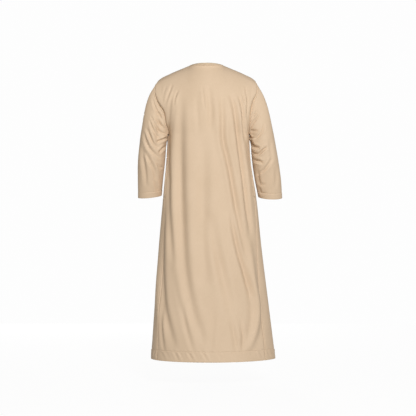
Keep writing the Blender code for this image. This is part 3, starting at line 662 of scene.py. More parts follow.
def suiting(name, colour, shade):
    """Soft beige suiting: a fine twill with slubs, faint uneven dye and a low sheen."""
    cloth, tree, shader = new_material(name)
    flat = tree.nodes.new("ShaderNodeUVMap")
    flat.uv_map = "flat_cloth"

    def patterned(kind, scale, **settings):
        """A texture on the flat cloth, scaled in repeats a metre."""
        mapping = added(tree, "ShaderNodeMapping", {"Scale": scale, "Vector": flat.outputs["UV"]})
        return added(tree, kind, {"Vector": mapping.outputs["Vector"], **settings})

    def tinted(factor, tint, before):
        """The colour so far, multiplied by a tint where the factor says."""
        mix = tree.nodes.new("ShaderNodeMix")
        mix.data_type = "RGBA"
        mix.blend_type = "MULTIPLY"
        fed(tree, mix, {"Factor": factor, "A": before, "B": (*tint, 1.0)})
        return mix.outputs["Result"]

    def ranged(value, low, high, to_low, to_high):
        """A value moved from one range to another."""
        change = added(tree, "ShaderNodeMapRange", {
            "Value": value, "From Min": low, "From Max": high, "To Min": to_low, "To Max": to_high,
        })
        return change.outputs["Result"]

    twill = patterned("ShaderNodeTexWave", (1500.0, 1500.0, 1.0), Scale=0.3183, Distortion=0.6)
    twill.bands_direction = "DIAGONAL"
    weft = patterned("ShaderNodeTexNoise", (300.0, 2600.0, 1.0), Scale=1.0, Detail=2.0)
    warp = patterned("ShaderNodeTexNoise", (2600.0, 300.0, 1.0), Scale=1.0, Detail=2.0)
    slubs = patterned("ShaderNodeTexNoise", (900.0, 60.0, 1.0), Scale=1.0, Detail=3.0)
    dye = patterned("ShaderNodeTexNoise", (7.0, 5.0, 1.0), Scale=1.0, Detail=4.0, Roughness=0.6)
    rubbed = tree.nodes.new("ShaderNodeAttribute")
    rubbed.attribute_name = "wear"

    result = (*colour, 1.0)
    for texture, low, high, share, tint in (
        (dye, 0.35, 0.65, 0.8, shade),
        (slubs, 0.40, 0.70, 0.6, (0.93, 0.92, 0.90)),
        (twill, 0.0, 1.0, 0.5, (0.90, 0.89, 0.87)),
        (rubbed, 0.0, 1.0, 0.55, (0.90, 0.88, 0.85)),
    ):
        result = tinted(ranged(texture.outputs["Fac"], low, high, 0.0, share), tint, result)

    threads = added(tree, "ShaderNodeMath", {0: weft.outputs["Fac"], 1: warp.outputs["Fac"]})
    height = tree.nodes.new("ShaderNodeMath")
    height.operation = "MULTIPLY_ADD"
    fed(tree, height, {0: twill.outputs["Fac"], 1: 0.9, 2: threads.outputs["Value"]})
    bump = added(tree, "ShaderNodeBump", {
        "Strength": 0.35, "Distance": 0.00012, "Height": height.outputs["Value"],
    })
    fed(tree, shader, {
        "Base Color": result,
        "Normal": bump.outputs["Normal"],
        "Roughness": ranged(slubs.outputs["Fac"], 0.3, 0.7, 0.58, 0.72),
        "Specular IOR Level": 0.28,
        "Sheen Weight": 0.05,
        "Sheen Roughness": 0.45,
        "Sheen Tint": (1.0, 0.95, 0.88, 1.0),
    })
    return cloth


def hemmed_piece(name, grid, normals):
    """A sheet of the robe's cloth with its lower edge turned up inside."""
    turned, turned_normals = turned_edge(grid, normals, HEM_TURN_ROWS)
    wear = worn_places(turned, turned[..., 2] - HEM_Z)
    return cloth_piece(name, turned, turned_normals, False, robe_suiting, wear=wear)


robe_suiting = suiting("robe_suiting", (0.662, 0.512, 0.371), (0.95, 0.94, 0.92))

back_grid, back_normals = panel_grid("back", BACK_FOLDS)
back_cloth = hemmed_piece("back_cloth", back_grid, back_normals)
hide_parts("back_panel")


# Front panel
# The front is cut as the back is, with a deeper round neck.  Its folds fall
# from the chest and from the placket's end.

FRONT_FOLDS = (
    ((0.155, 0.176, 0.190, 0.175), (-0.30, -0.65, -1.00, -1.36), 0.018, 0.0070),
    ((0.090, 0.098, 0.075, 0.110), (-0.36, -0.68, -1.02, -1.42), 0.021, 0.0070),
    ((-0.020, -0.040, -0.075), (-0.62, -0.95, -1.38), 0.024, 0.0055),
    ((-0.110, -0.128, -0.160), (-0.34, -0.66, -1.05), 0.019, 0.0065),
    ((-0.176, -0.205, -0.255), (-0.42, -0.80, -1.36), 0.018, 0.0070),
    # short folds that fan out from the shoulders and the underarms
    ((0.165, 0.180, 0.186), (-0.10, -0.165, -0.24), 0.008, 0.0020),
    ((0.130, 0.146, 0.150), (-0.12, -0.200, -0.29), 0.009, 0.0016),
    ((-0.172, -0.190, -0.194), (-0.10, -0.170, -0.25), 0.008, 0.0022),
    ((-0.142, -0.158, -0.165), (-0.13, -0.210, -0.30), 0.009, 0.0018),
    ((0.185, 0.150, 0.120), (-0.30, -0.335, -0.36), 0.010, 0.0022),
    ((-0.200, -0.165, -0.130), (-0.30, -0.330, -0.35), 0.010, 0.0022),
    # lower and fainter ones
    ((0.045, 0.050, 0.040), (-0.50, -0.640, -0.84), 0.014, 0.0018),
    ((-0.050, -0.056, -0.070), (-0.48, -0.560, -0.70), 0.013, 0.0016),
    ((0.030, 0.020, 0.024), (-0.90, -1.100, -1.38), 0.017, 0.0026),
    ((0.140, 0.136, 0.150), (-0.84, -1.060, -1.30), 0.013, 0.0026),
    ((-0.150, -0.175, -0.190), (-0.90, -1.120, -1.38), 0.015, 0.0028),
    ((0.225, 0.228, 0.240), (-0.86, -1.120, -1.40), 0.011, 0.0026),
    ((-0.108, -0.122, -0.118), (-1.10, -1.240, -1.42), 0.014, 0.0024),
)

front_grid, front_normals = panel_grid("front", FRONT_FOLDS)
front_cloth = hemmed_piece("front_cloth", front_grid, front_normals)
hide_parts("front_panel")


# Side gores
# A long gore joins the back and the front on each side, narrow under the arm
# and wide at the hem.  Its seams are felled and stitched a second time.

GORE_COLUMNS = 24           # columns between the stitched edges of a gore
FELL_WIDTH = 0.0085         # from the seam to its second row of stitches
FELL_RISE = 0.0005          # how far the felled seam raises the face between them
GORE_EDGE_STEPS = (0.0, 0.001, 0.002, 0.0035, 0.005, 0.007, 0.0078,
                   FELL_WIDTH, 0.0092, 0.010, 0.012, 0.014)


def gore_row(hand, z):
    """One level row of a side gore, from its back seam to its front seam."""
    pick = 0 if hand == "left" else 1
    back_turn = seam_turns(z, "back")[pick]
    front_turn = seam_turns(z, "front")[pick]
    if hand == "right":
        front_turn += 2 * math.pi
    curve = body_slice(z, np.linspace(back_turn, front_turn, SECTION_POINTS))
    length = np.linalg.norm(np.diff(curve, axis=0), axis=1).sum()
    edge = np.array(GORE_EDGE_STEPS) / length
    middle = np.linspace(edge[-1], 1 - edge[-1], GORE_COLUMNS + 1)[1:-1]
    return even_points(curve, np.concatenate([edge, middle, 1 - edge[::-1]]))


gore_grids = {}
gore_normals = {}
for hand, column, way in (("left", 0, 1), ("right", -1, -1)):
    base = np.array([gore_row(hand, z) for z in skirt_levels()])
    normals = grid_normals(base, False)
    normals *= way * np.sign(normals[2, base.shape[1] // 2, 0])
    to_back, to_front = from_edges(base)
    relief = -SEAM_SINK * (dent(to_back, SEAM_ROLL) + dent(to_front, SEAM_ROLL))
    stitched = dent(to_back - FELL_WIDTH, STITCH_ROLL) + dent(to_front - FELL_WIDTH, STITCH_ROLL)
    relief -= STITCH_SINK * stitched
    to_seam = np.minimum(to_back, to_front)
    relief += FELL_RISE * soft_step(FELL_WIDTH - to_seam, 0.0, 0.002)
    relief += hem_relief(base, base[..., 1], to_seam)
    for folds, side in ((BACK_FOLDS, "back"), (FRONT_FOLDS, "front")):
        amount, fade = folds_taken(base, folds, side)
        relief += amount * fade
    grid = base + normals * relief[..., None]
    grid[:, 0] = back_grid[:len(grid), column]
    grid[:, -1] = front_grid[:len(grid), column]
    gore_grids[hand] = grid
    gore_normals[hand] = normals
    gore_cloth = hemmed_piece(f"gore_cloth_{hand}", grid, normals)
    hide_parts(f"gore_{hand}")


# Sleeves
# Long sleeves set in at the armholes, cut in one with a seam under the arm.
# They crease at the elbow, and their cuffs are turned up 30 mm.

CUFF_TURN = 0.030
CUFF_TURN_ROWS = 9          # rows of points that the turned cuff takes
CUFF_WORN_ROWS = 7          # rows round its fold that are rubbed
EDGE_INSIDE = 9             # columns from a panel's armhole to the one that shows its slope
ARMHOLE_STITCH = 0.009      # from the armhole seam to the row of stitches beside it
ARMHOLE_RIDGE = 0.0016      # how far the seam allowance raises the cloth between them
SLEEVE_ROLL = {"left": 0.016, "right": 0.008}   # width of the armhole groove on each sleeve
ARMPIT_SWELL = 0.0068       # how far the sleeve leans towards the body below the armpit
ARMPIT_SWELL_Z = (-0.354, 0.021)   # level of that place and half its height
SLEEVE_CLEAR = 0.0005       # the least room between the sleeve and the gore there
SLEEVE_CLEAR_Z = -0.42      # level below which the sleeve never comes so near
CAP_RINGS = 60              # rings of points in the cap
ARM_RINGS = 112             # and from there to the cuff
CAP_PULL = 0.68             # how far the cap runs on straight at both of its ends
CAP_SPREAD = 0.25           # how far the cap follows its seam towards front and back
SLEEVE_FOLD_FADE = 0.4      # share of a turn over which sleeve folds fade to the sides
SLEEVE_FOLD_ENDS = (0.020, 0.030)   # distances from the seam and the cuff over which they grow
FRONT_FOLD_LIFT = 0.020     # the folds on the front of a sleeve lie this much lower

SLEEVE_ROWS = {
    "left": {
        "z":     (-0.365, -0.475, -0.566, -0.648),
        "outer": (0.3330, 0.3440, 0.3450, 0.3442),
        "inner": (0.1990, 0.2060, 0.2165, 0.2245),
        "y":     (-0.004, -0.012, -0.028, -0.045),
        "deep":  (0.070, 0.062, 0.054, 0.047),
    },
    "right": {
        "z":     (-0.365, -0.475, -0.566, -0.6515),
        "outer": (-0.3465, -0.3662, -0.3795, -0.3855),
        "inner": (-0.2240, -0.2320, -0.2460, -0.2640),
        "y":     (-0.004, -0.012, -0.028, -0.045),
        "deep":  (0.070, 0.062, 0.054, 0.047),
    },
}
# The sleeve head is evened out over these columns and rows from the shoulder tip
TIP_COLUMNS = 10
TIP_ROWS = 10
TIP_PASSES = 24
# How much lower the cuff is at its outer side and at its back than its middle
CUFF_TILT = {"left": (0.006, 0.0085), "right": (0.0025, 0.012)}

# Folds on the back of each sleeve: x and z of the path, half width, depth
SLEEVE_FOLDS = {
    "left": (
        # long ones from the outside of the sleeve down to the armhole and the elbow
        ((0.268, 0.250, 0.229, 0.212), (-0.16, -0.215, -0.248, -0.270), 0.006, 0.0045),
        ((0.274, 0.256, 0.229, 0.204), (-0.248, -0.289, -0.327, -0.339), 0.006, 0.0055),
        ((0.298, 0.279, 0.260, 0.237), (-0.306, -0.352, -0.389, -0.408), 0.007, 0.0070),
        ((0.309, 0.300, 0.279, 0.254, 0.229), (-0.331, -0.373, -0.414, -0.439, -0.460), 0.008, 0.0055),
        ((0.309, 0.287, 0.262, 0.249), (-0.418, -0.460, -0.510, -0.570), 0.009, 0.0055),
        ((0.318, 0.312, 0.304, 0.300), (-0.40, -0.476, -0.539, -0.60), 0.010, 0.0055),
        # shorter ones between them
        ((0.246, 0.229, 0.206), (-0.264, -0.289, -0.314), 0.006, 0.0050),
        ((0.281, 0.266, 0.246, 0.229), (-0.264, -0.310, -0.348, -0.356), 0.006, 0.0050),
        ((0.246, 0.225, 0.216), (-0.485, -0.504, -0.500), 0.007, 0.0030),
        ((0.256, 0.248, 0.236), (-0.570, -0.600, -0.625), 0.009, 0.0030),
        # deep wedges that run out of the armpit
        ((0.200, 0.224, 0.246), (-0.352, -0.369, -0.379), 0.006, 0.0070),
        ((0.204, 0.224, 0.236), (-0.395, -0.419, -0.433), 0.006, 0.0070),
        # and a broad hollow beside the body
        ((0.238, 0.236, 0.240), (-0.20, -0.300, -0.41), 0.016, 0.0080),
    ),
    "right": (
        # long ones from the outside of the sleeve down to the elbow
        ((-0.266, -0.242, -0.219), (-0.240, -0.273, -0.300), 0.006, 0.0050),
        ((-0.292, -0.280, -0.259, -0.240), (-0.285, -0.327, -0.352, -0.366), 0.006, 0.0045),
        ((-0.308, -0.284, -0.256, -0.234), (-0.400, -0.419, -0.439, -0.435), 0.007, 0.0080),
        ((-0.331, -0.313, -0.288, -0.256), (-0.458, -0.489, -0.518, -0.540), 0.008, 0.0055),
        ((-0.318, -0.324, -0.330), (-0.36, -0.420, -0.48), 0.010, 0.0030),
        # shorter ones between them
        ((-0.262, -0.248, -0.232), (-0.215, -0.235, -0.262), 0.005, 0.0030),
        ((-0.256, -0.282, -0.300), (-0.510, -0.590, -0.585), 0.008, 0.0035),
        ((-0.262, -0.282, -0.304), (-0.590, -0.632, -0.628), 0.007, 0.0025),
        ((-0.350, -0.352, -0.348), (-0.500, -0.560, -0.61), 0.010, 0.0030),
        # deep wedges that run out of the armpit
        ((-0.217, -0.236, -0.258), (-0.319, -0.322, -0.320), 0.006, 0.0050),
        ((-0.215, -0.234, -0.244), (-0.338, -0.356, -0.352), 0.005, 0.0060),
        ((-0.220, -0.238, -0.269), (-0.365, -0.398, -0.409), 0.008, 0.0090),
        ((-0.236, -0.259, -0.285), (-0.468, -0.473, -0.482), 0.008, 0.0070),
    ),
}


def sleeve_ring(hand, share, count):
    """One ring of the sleeve tube, from the upper arm (0) to the cuff (1)."""
    rows = SLEEVE_ROWS[hand]
    z = rows["z"][0] + (rows["z"][-1] - rows["z"][0]) * share
    stations = rows["z"][::-1]
    sizes = {name: float(smooth_row(stations, rows[name][::-1], z)) for name in rows}
    turn = 2 * math.pi * np.arange(count) / count
    middle = (sizes["outer"] + sizes["inner"]) / 2
    half = (sizes["outer"] - sizes["inner"]) / 2
    tilt_out, tilt_back = CUFF_TILT[hand]
    drop = tilt_out * np.cos(turn) + tilt_back * np.sin(turn)
    return np.stack([
        middle + half * np.cos(turn),
        sizes["y"] + sizes["deep"] * np.sin(turn),
        z - drop * share,
    ], axis=1)


def arm_shares(hand):
    """Places of the rings below the upper arm, closer at the cuff's stitches."""
    rows = SLEEVE_ROWS[hand]
    length = rows["z"][0] - rows["z"][-1]
    close = np.array([0.042, 0.038, 0.035, 0.033, 0.032, 0.031, 0.030, 0.029, 0.028, 0.027,
                      0.0255, 0.023, 0.018, 0.012, 0.006, 0.002, 0.0])
    close = 1 - close / length
    return np.concatenate([np.linspace(0.0, close[0], ARM_RINGS - len(close) + 1)[:-1], close])


def across_edge(direction, tangent):
    """The part of a direction that is square to the edge."""
    along = (direction * tangent).sum(axis=-1)[..., None]
    return unit(direction - along * tangent)


def eased_at_tip(points):
    """Rings of points evened out on both sides of the shoulder tip."""
    count = points.shape[-2]
    columns = np.arange(count)
    from_tip = np.minimum(columns, count - columns)
    near = soft_step(TIP_COLUMNS - from_tip, 0, TIP_COLUMNS)[:, None]
    for step in range(TIP_PASSES):
        even = (np.roll(points, 1, axis=-2) + np.roll(points, -1, axis=-2)) / 2
        points = points + (even - points) * 0.5 * near
    return points


def sleeve_rings(hand, loop, reach):
    """The rings of a sleeve from the armhole seam to the cuff."""
    tube = [sleeve_ring(hand, share, len(loop)) for share in arm_shares(hand)]
    tangent = unit(np.roll(loop, -1, axis=0) - np.roll(loop, 1, axis=0))
    to_arm = across_edge(tube[0] - loop, tangent)
    from_body = across_edge(reach, tangent)
    outward = eased_at_tip(across_edge(to_arm + from_body, tangent))
    length = np.linalg.norm(tube[0] - loop, axis=1)[:, None]
    start = unit(outward * (1, CAP_SPREAD, 1)) * length * CAP_PULL
    end = unit(tube[3] - tube[0]) * length * CAP_PULL
    rings = []
    for step in range(CAP_RINGS):
        part = (step / CAP_RINGS) ** 1.25
        rings.append(eased(loop, start, tube[0], end, part))
    rings = np.array(rings + tube)
    share = soft_step(np.arange(len(rings)), 0, TIP_ROWS)[:, None, None]
    return rings + (eased_at_tip(rings) - rings) * share


def sleeve_loop(hand, column, second):
    """The armhole from the shoulder tip down the back, under the arm and up the front."""
    back, front, gore = back_grid, front_grid, gore_grids[hand]
    loop = np.vstack([back[-1:-YOKE_ROWS - 1:-1, column], gore[-1], front[-YOKE_ROWS:-1, column]])
    reach = np.vstack([
        (back[:, column] - back[:, second])[-1:-YOKE_ROWS - 1:-1],
        gore[-1] - gore[-4],
        (front[:, column] - front[:, second])[-YOKE_ROWS:-1],
    ])
    return loop, reach


def kept_off_gore(hand, rings, from_seam):
    """The rings of a sleeve, moved off the gore where they would run into it."""
    way = 1 if hand == "left" else -1
    gore = gore_grids[hand]
    for j, i in np.argwhere((rings[..., 2] < ARMPIT_Z) & (rings[..., 2] > SLEEVE_CLEAR_Z)):
        x, y, z = rings[j, i]
        row = gore[np.abs(gore[:, 0, 2] - z).argmin()]
        if row[-1, 1] < y < row[0, 1]:
            room = SLEEVE_CLEAR * soft_step(from_seam[j, i], 0.0, 0.006)
            skin = way * np.interp(y, row[::-1, 1], row[::-1, 0])
            rings[j, i, 0] = way * max(way * x, skin + room)
    return rings


sleeve_grids = {}
sleeve_normals = {}
sleeve_lengths = {}
for hand, column, second in (("left", 0, EDGE_INSIDE), ("right", -1, -1 - EDGE_INSIDE)):
    loop, reach = sleeve_loop(hand, column, second)
    rings = sleeve_rings(hand, loop, reach)
    normals = grid_normals(rings, True)
    middle = rings[-4].mean(axis=0)
    if ((rings[-4] - middle) * normals[-4]).sum() < 0:
        normals = -normals
    centres = rings.mean(axis=1)[:, None]
    out = unit((rings - centres) * (1, 1, 0.2))
    seen = rings[..., (0, 2)].reshape(-1, 2)
    amount = np.zeros(rings.shape[:2])
    for way, lift in ((1, 0.0), (-1, FRONT_FOLD_LIFT)):
        moved = fold_depth(SLEEVE_FOLDS[hand], seen + (0.0, lift)).reshape(amount.shape)
        amount += moved * soft_step(way * out[..., 1], 0.0, SLEEVE_FOLD_FADE)
    from_seam = np.cumsum(np.linalg.norm(np.diff(rings, axis=0, prepend=rings[:1]), axis=2), axis=0)
    from_cuff = from_seam[-1] - from_seam
    for distance, reach in zip((from_seam, from_cuff), SLEEVE_FOLD_ENDS):
        amount *= soft_step(distance, 0.0, reach)
    relief = -SEAM_SINK * dent(from_seam, SEAM_ROLL)
    relief -= armhole_groove(rings, from_seam, SLEEVE_ROLL[hand])
    relief += ARMHOLE_RIDGE * dent(from_seam - ARMHOLE_STITCH / 2, ARMHOLE_STITCH / 4)
    relief -= STITCH_SINK * dent(from_seam - ARMHOLE_STITCH, STITCH_ROLL)
    relief -= STITCH_SINK * dent(from_cuff - CUFF_TURN, STITCH_ROLL)
    relief += TURN_RISE * soft_step(CUFF_TURN - from_cuff, 0.0, 0.005)
    inward = soft_step(-np.sign(loop[0, 0]) * out[..., 0], 0.3, 0.9)
    swell = ARMPIT_SWELL * inward * dent(rings[..., 2] - ARMPIT_SWELL_Z[0], ARMPIT_SWELL_Z[1])
    swell *= soft_step(from_seam, 0.0, 0.008)
    rings = rings + out * (amount + swell)[..., None] + normals * relief[..., None]
    rings = kept_off_gore(hand, rings, from_seam)
    rings[0] = loop
    sleeve_grids[hand] = rings
    sleeve_normals[hand] = normals
    sleeve_lengths[hand] = (from_seam, from_cuff)
    turned, turned_normals = turned_edge(rings[::-1], normals[::-1], CUFF_TURN_ROWS)
    worn = np.zeros(turned.shape[:2])
    worn[CUFF_TURN_ROWS:CUFF_TURN_ROWS + CUFF_WORN_ROWS] = 1.0
    sleeve_cloth = cloth_piece(
        f"sleeve_cloth_{hand}", turned, turned_normals, True, robe_suiting, wear=worn,
    )
    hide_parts(f"sleeve_{hand}")


# Neck band
# A narrow band of the same cloth, doubled and stitched round the neckline, in a
# darker copy of the robe's colour that is painted shade.  It stands up a little,
# and its ends meet at the centre front.

BAND_HEIGHT = 0.010
BAND_CLOTH = 0.0022         # thickness of the doubled band
BAND_WALL = 0.0004          # and of each of its two layers
BAND_GAP = 0.0003           # from the neckline to the foot of the band
BAND_LEAN = 0.6             # how much less the band leans inward behind the neck than beside it
BAND_RISE = (0.40, 0.60)    # how steeply it rises beside the neck, and how much more behind it
BAND_OPENING = 0.0010       # between its two ends at the centre front
# Height and distance inward of the points round the band's section, from its
# outer foot over the top to its inner foot
BAND_SECTION = {
    "rise":   (0.00, 0.10, 0.30, 0.55, 0.80, 0.93, 1.00, 1.00, 0.93, 0.80, 0.50, 0.10, 0.00),
    "inward": (0.30, 0.05, 0.00, -0.04, 0.00, 0.12, 0.35, 0.65, 0.88, 1.00, 1.00, 1.00, 0.80),
}


def neck_loop(back, front):
    """Values along the neckline from the centre front over the left side and the back."""
    first = len(EDGE_STEPS) + SIDE_COLUMNS - 1
    last = back.shape[0] - 1 - first
    middle = back.shape[0] // 2
    before = front[first:middle + 1][::-1]
    after = front[middle:last + 1][::-1]
    return np.vstack([before, back[first + 1:last], after])


neck_edge = neck_loop(back_grid[-1], front_grid[-1])
over_front = neck_edge[1] - neck_edge[-2]
tangent = unit(np.vstack([over_front, neck_edge[2:] - neck_edge[:-2], over_front]))
inward = unit((np.array([SHOULDER_SHIFT, SHOULDER_Y, 0.0]) - neck_edge) * (1, 1, 0))
behind = np.maximum(-inward[:, 1:2], 0.0) ** 2
upward = np.array([0.0, 0.0, 1.0]) * (BAND_RISE[0] + BAND_RISE[1] * behind)
band_rise = across_edge(inward * (1 - BAND_LEAN * behind) + upward, tangent)
band_facing = unit(np.cross(tangent, band_rise))
cloth_facing = neck_loop(back_normals[-1], front_normals[-1])
band_facing *= np.sign((band_facing * cloth_facing).sum(axis=1))[:, None]
neck_edge[0, 0] += BAND_OPENING / 2
neck_edge[-1, 0] -= BAND_OPENING / 2
# painted shade: the band's suiting is the robe's cloth coloured about a tenth darker to stand for the
# shade on the band
band_suiting_painted_shade = suiting("band_suiting_painted_shade", (0.585, 0.468, 0.335), (0.96, 0.95, 0.94))
band = np.array([
    neck_edge + band_rise * (BAND_HEIGHT * up + BAND_GAP) - band_facing * BAND_CLOTH * inside
    for up, inside in zip(BAND_SECTION["rise"], BAND_SECTION["inward"])
])
band_normals = grid_normals(band, False)
band_normals *= np.sign((band_normals[3] * band_facing).sum())
neck_band_cloth = cloth_piece(
    "neck_band_cloth", band, band_normals, False, band_suiting_painted_shade, wall=BAND_WALL,
)
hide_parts("neck_band")


# Placket
# A strip of the robe's cloth, 30 mm wide, folded under on both edges and
# stitched over the front opening.

PLACKET_LOW_Z = -0.470
PLACKET_LIFT = 0.0016       # how far its face stands off the front panel
PLACKET_GAP = 0.0002        # and how far its folded edges do
PLACKET_WALL = 0.0008       # thickness of its doubled cloth
# Distances from the middle and shares of that lift, from the middle outward
PLACKET_SIDE = {
    "out":  (0.0, 0.004, 0.008, 0.0116, 0.0124, 0.0132, 0.0140, 0.0148, 0.0150),
    "lift": (1.0, 1.0, 1.0, 1.0, 0.72, 1.0, 1.0, 0.7, 0.2),
}


def row_at(values, run, wanted):
    """Values of a row at wanted distances along it."""
    axes = range(values.shape[1])
    return np.stack([np.interp(wanted, run, values[:, axis]) for axis in axes], axis=1)


def laid_strip(ground, ground_normals, rows, across, lifts, from_middle):
    """Points and normals of a strip that lies on some rows of a grid of cloth."""
    points = []
    normals = []
    for j in rows:
        run = from_edges(ground[j][None])[0][0]
        places = across + (run[len(run) // 2] if from_middle else 0.0)
        up = unit(row_at(ground_normals[j], run, places))
        points.append(row_at(ground[j], run, places) + up * lifts[:, None])
        normals.append(up)
    return np.array(points), np.array(normals)


out, lift = (np.array(PLACKET_SIDE[name]) for name in ("out", "lift"))
across = np.concatenate([-out[:0:-1], out])
lifts = PLACKET_LIFT * np.concatenate([lift[:0:-1], lift]) + PLACKET_GAP
covered = np.flatnonzero(front_grid[:, front_grid.shape[1] // 2, 2] > PLACKET_LOW_Z)
placket_grid, placket_normals = laid_strip(front_grid, front_normals, covered, across, lifts, True)
placket_cloth = cloth_piece(
    "placket_cloth", placket_grid, placket_normals, False, robe_suiting, wall=PLACKET_WALL,
)
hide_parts("placket")


# Pocket mouths
# A narrow strip along the back seam of each gore, where the pocket opens: the
# gore's edge is doubled there and stitched down beside the slit.

POCKET_TOP_Z = -0.500
POCKET_LOW_Z = -0.665
POCKET_LIFT = 0.0014        # how far the doubled edge stands off the gore
POCKET_GAP = 0.0003         # and how far its sides do
POCKET_WALL = 0.0003        # thickness of its face
POCKET_WEAR = 0.7           # how much of the full wear the pocket mouths show
# Distances from the seam and shares of that lift
POCKET_ACROSS = np.array([0.0004, 0.0006, 0.0012, 0.0024, 0.0048, 0.0066, 0.0074, 0.0078])
POCKET_RISE = np.array([0.10, 0.60, 0.95, 1.0, 0.95, 0.80, 0.45, 0.10])

for hand in ("left", "right"):
    levels = gore_grids[hand][:, 0, 2]
    covered = np.flatnonzero((levels < POCKET_TOP_Z) & (levels > POCKET_LOW_Z))
    lifts = POCKET_LIFT * POCKET_RISE + POCKET_GAP
    grid, normals = laid_strip(
        gore_grids[hand], gore_normals[hand], covered, POCKET_ACROSS, lifts, False,
    )
    worn = np.full(grid.shape[:2], POCKET_WEAR)
    pocket_cloth = cloth_piece(
        f"pocket_cloth_{hand}", grid, normals, False, robe_suiting, wall=POCKET_WALL, wear=worn,
    )
    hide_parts(f"pocket_{hand}")


# Buttons
# Four small flat buttons down the placket: a raised rim round a shallow dish,
# four holes and a cross of thread through them.

BUTTON_RADIUS = 0.0055
BUTTON_HEIGHT = 0.0022
BUTTON_TOP_Z = -0.105
BUTTON_SPACING = 0.090
BUTTONS = 4
BUTTON_SIDES = 48
HOLE_RADIUS = 0.0006
HOLE_OFFSET = 0.0013        # from the middle of a button to each hole, along both ways
HOLE_SIDES = 12
BUTTON_LIFT = 0.0004        # from the face of the placket to the back of a button
THREAD_RADIUS = 0.00028
THREAD_SIDES = 8
THREAD_STEPS = 8
THREAD_SINK = 0.0006        # how far its ends go down into the holes
THREAD_RISE = {1: 0.0011, -1: 0.0005}   # height of the arch of the upper and the lower thread

# Distance from the middle and height above the placket, from the dish outward,
# as shares of the button's radius and height
BUTTON_PROFILE = {
    "out":  (0.58, 0.68, 0.76, 0.84, 0.92, 0.98, 1.00, 0.98, 0.90, 0.70),
    "high": (0.70, 0.72, 0.82, 0.96, 1.00, 0.88, 0.62, 0.34, 0.12, 0.02),
}


def plain_material(name, colour, roughness, grain, depth):
    """A smooth material with faint clouds in its colour and its gloss."""
    stuff, tree, shader = new_material(name)
    place = tree.nodes.new("ShaderNodeTexCoord")
    clouds = added(tree, "ShaderNodeTexNoise", {
        "Vector": place.outputs["Object"], "Scale": grain, "Detail": 4.0,
    })
    tones = added(tree, "ShaderNodeValToRGB", {"Fac": clouds.outputs["Fac"]})
    for stop, position, share in zip(tones.color_ramp.elements, (0.35, 0.65), (0.82, 1.0)):
        stop.position = position
        stop.color = (*[share * value for value in colour], 1.0)
    gloss = added(tree, "ShaderNodeMapRange", {
        "Value": clouds.outputs["Fac"], "To Min": roughness - 0.08, "To Max": roughness + 0.08,
    })
    bump = added(tree, "ShaderNodeBump", {
        "Strength": 0.3, "Distance": depth, "Height": clouds.outputs["Fac"],
    })
    fed(tree, shader, {
        "Base Color": tones.outputs["Color"],
        "Roughness": gloss.outputs["Result"],
        "Normal": bump.outputs["Normal"],
    })
    return stuff


def made_of(name, points, faces, material):
    """A smooth object of plain mesh data that rides with the robe."""
    mesh = bpy.data.meshes.new(name)
    mesh.from_pydata([tuple(point) for point in points], [], faces)
    mesh.materials.append(material)
    mesh.shade_smooth()
    piece = bpy.data.objects.new(name, mesh)
    bpy.context.scene.collection.objects.link(piece)
    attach(piece, "root")
    return piece


def ring_of(radius, height, count, middle=(0.0, 0.0)):
    """Points round a circle that lies flat at a height."""
    turn = 2 * math.pi * np.arange(count) / count
    x = middle[0] + radius * np.cos(turn)
    y = middle[1] + radius * np.sin(turn)
    return np.stack([x, y, np.full(count, height)], axis=1)


def joined_rings(rings, first=0):
    """Faces between rings of equal count, given from the first point's number."""
    count = len(rings[0])
    faces = []
    for ring in range(len(rings) - 1):
        low = first + ring * count
        for i in range(count):
            k = (i + 1) % count
            faces.append((low + i, low + k, low + count + k, low + count + i))
    return faces


def button_shape():
    """Points and faces of a button that lies flat, its face up, pierced four times."""
    outs = [BUTTON_RADIUS * share for share in BUTTON_PROFILE["out"]]
    heights = [BUTTON_HEIGHT * share for share in BUTTON_PROFILE["high"]]
    rings = [ring_of(out, height, BUTTON_SIDES) for out, height in zip(outs, heights)]
    points = np.vstack(rings)
    faces = [face[::-1] for face in joined_rings(rings)]
    quarter = BUTTON_SIDES // 4
    base = len(points)
    bottom = base - BUTTON_SIDES
    dish = outs[0]
    high, low = heights[0], heights[-1]
    extra = []
    # the middles of the dish's upper and lower face, then the spokes that part the quarters
    for height in (high, low):
        extra.append((0.0, 0.0, height))
        for step in range(4):
            angle = math.pi / 2 * step
            extra.append((dish / 2 * math.cos(angle), dish / 2 * math.sin(angle), height))
    for x, y in ((1, 1), (-1, 1), (-1, -1), (1, -1)):
        for height in (high, low):
            extra.extend(ring_of(HOLE_RADIUS, height, HOLE_SIDES, (x * HOLE_OFFSET, y * HOLE_OFFSET)))
    points = np.vstack([points, np.array(extra)])
    for quadrant in range(4):
        after = (quadrant + 1) % 4
        hole_top = base + 10 + quadrant * 2 * HOLE_SIDES
        hole_low = hole_top + HOLE_SIDES
        upper = (0, base, hole_top, False)
        lower = (bottom, base + 5, hole_low, True)
        for rim_start, centre, hole, flip in (upper, lower):
            rim = [rim_start + (quadrant * quarter + i) % BUTTON_SIDES for i in range(quarter + 1)]
            outline = rim + [centre + 1 + after, centre, centre + 1 + quadrant]
            faces += bridged(points, outline, list(range(hole, hole + HOLE_SIDES)), flip)
        for i in range(HOLE_SIDES):
            k = (i + 1) % HOLE_SIDES
            faces.append((hole_top + i, hole_low + i, hole_low + k, hole_top + k))
    return points, faces


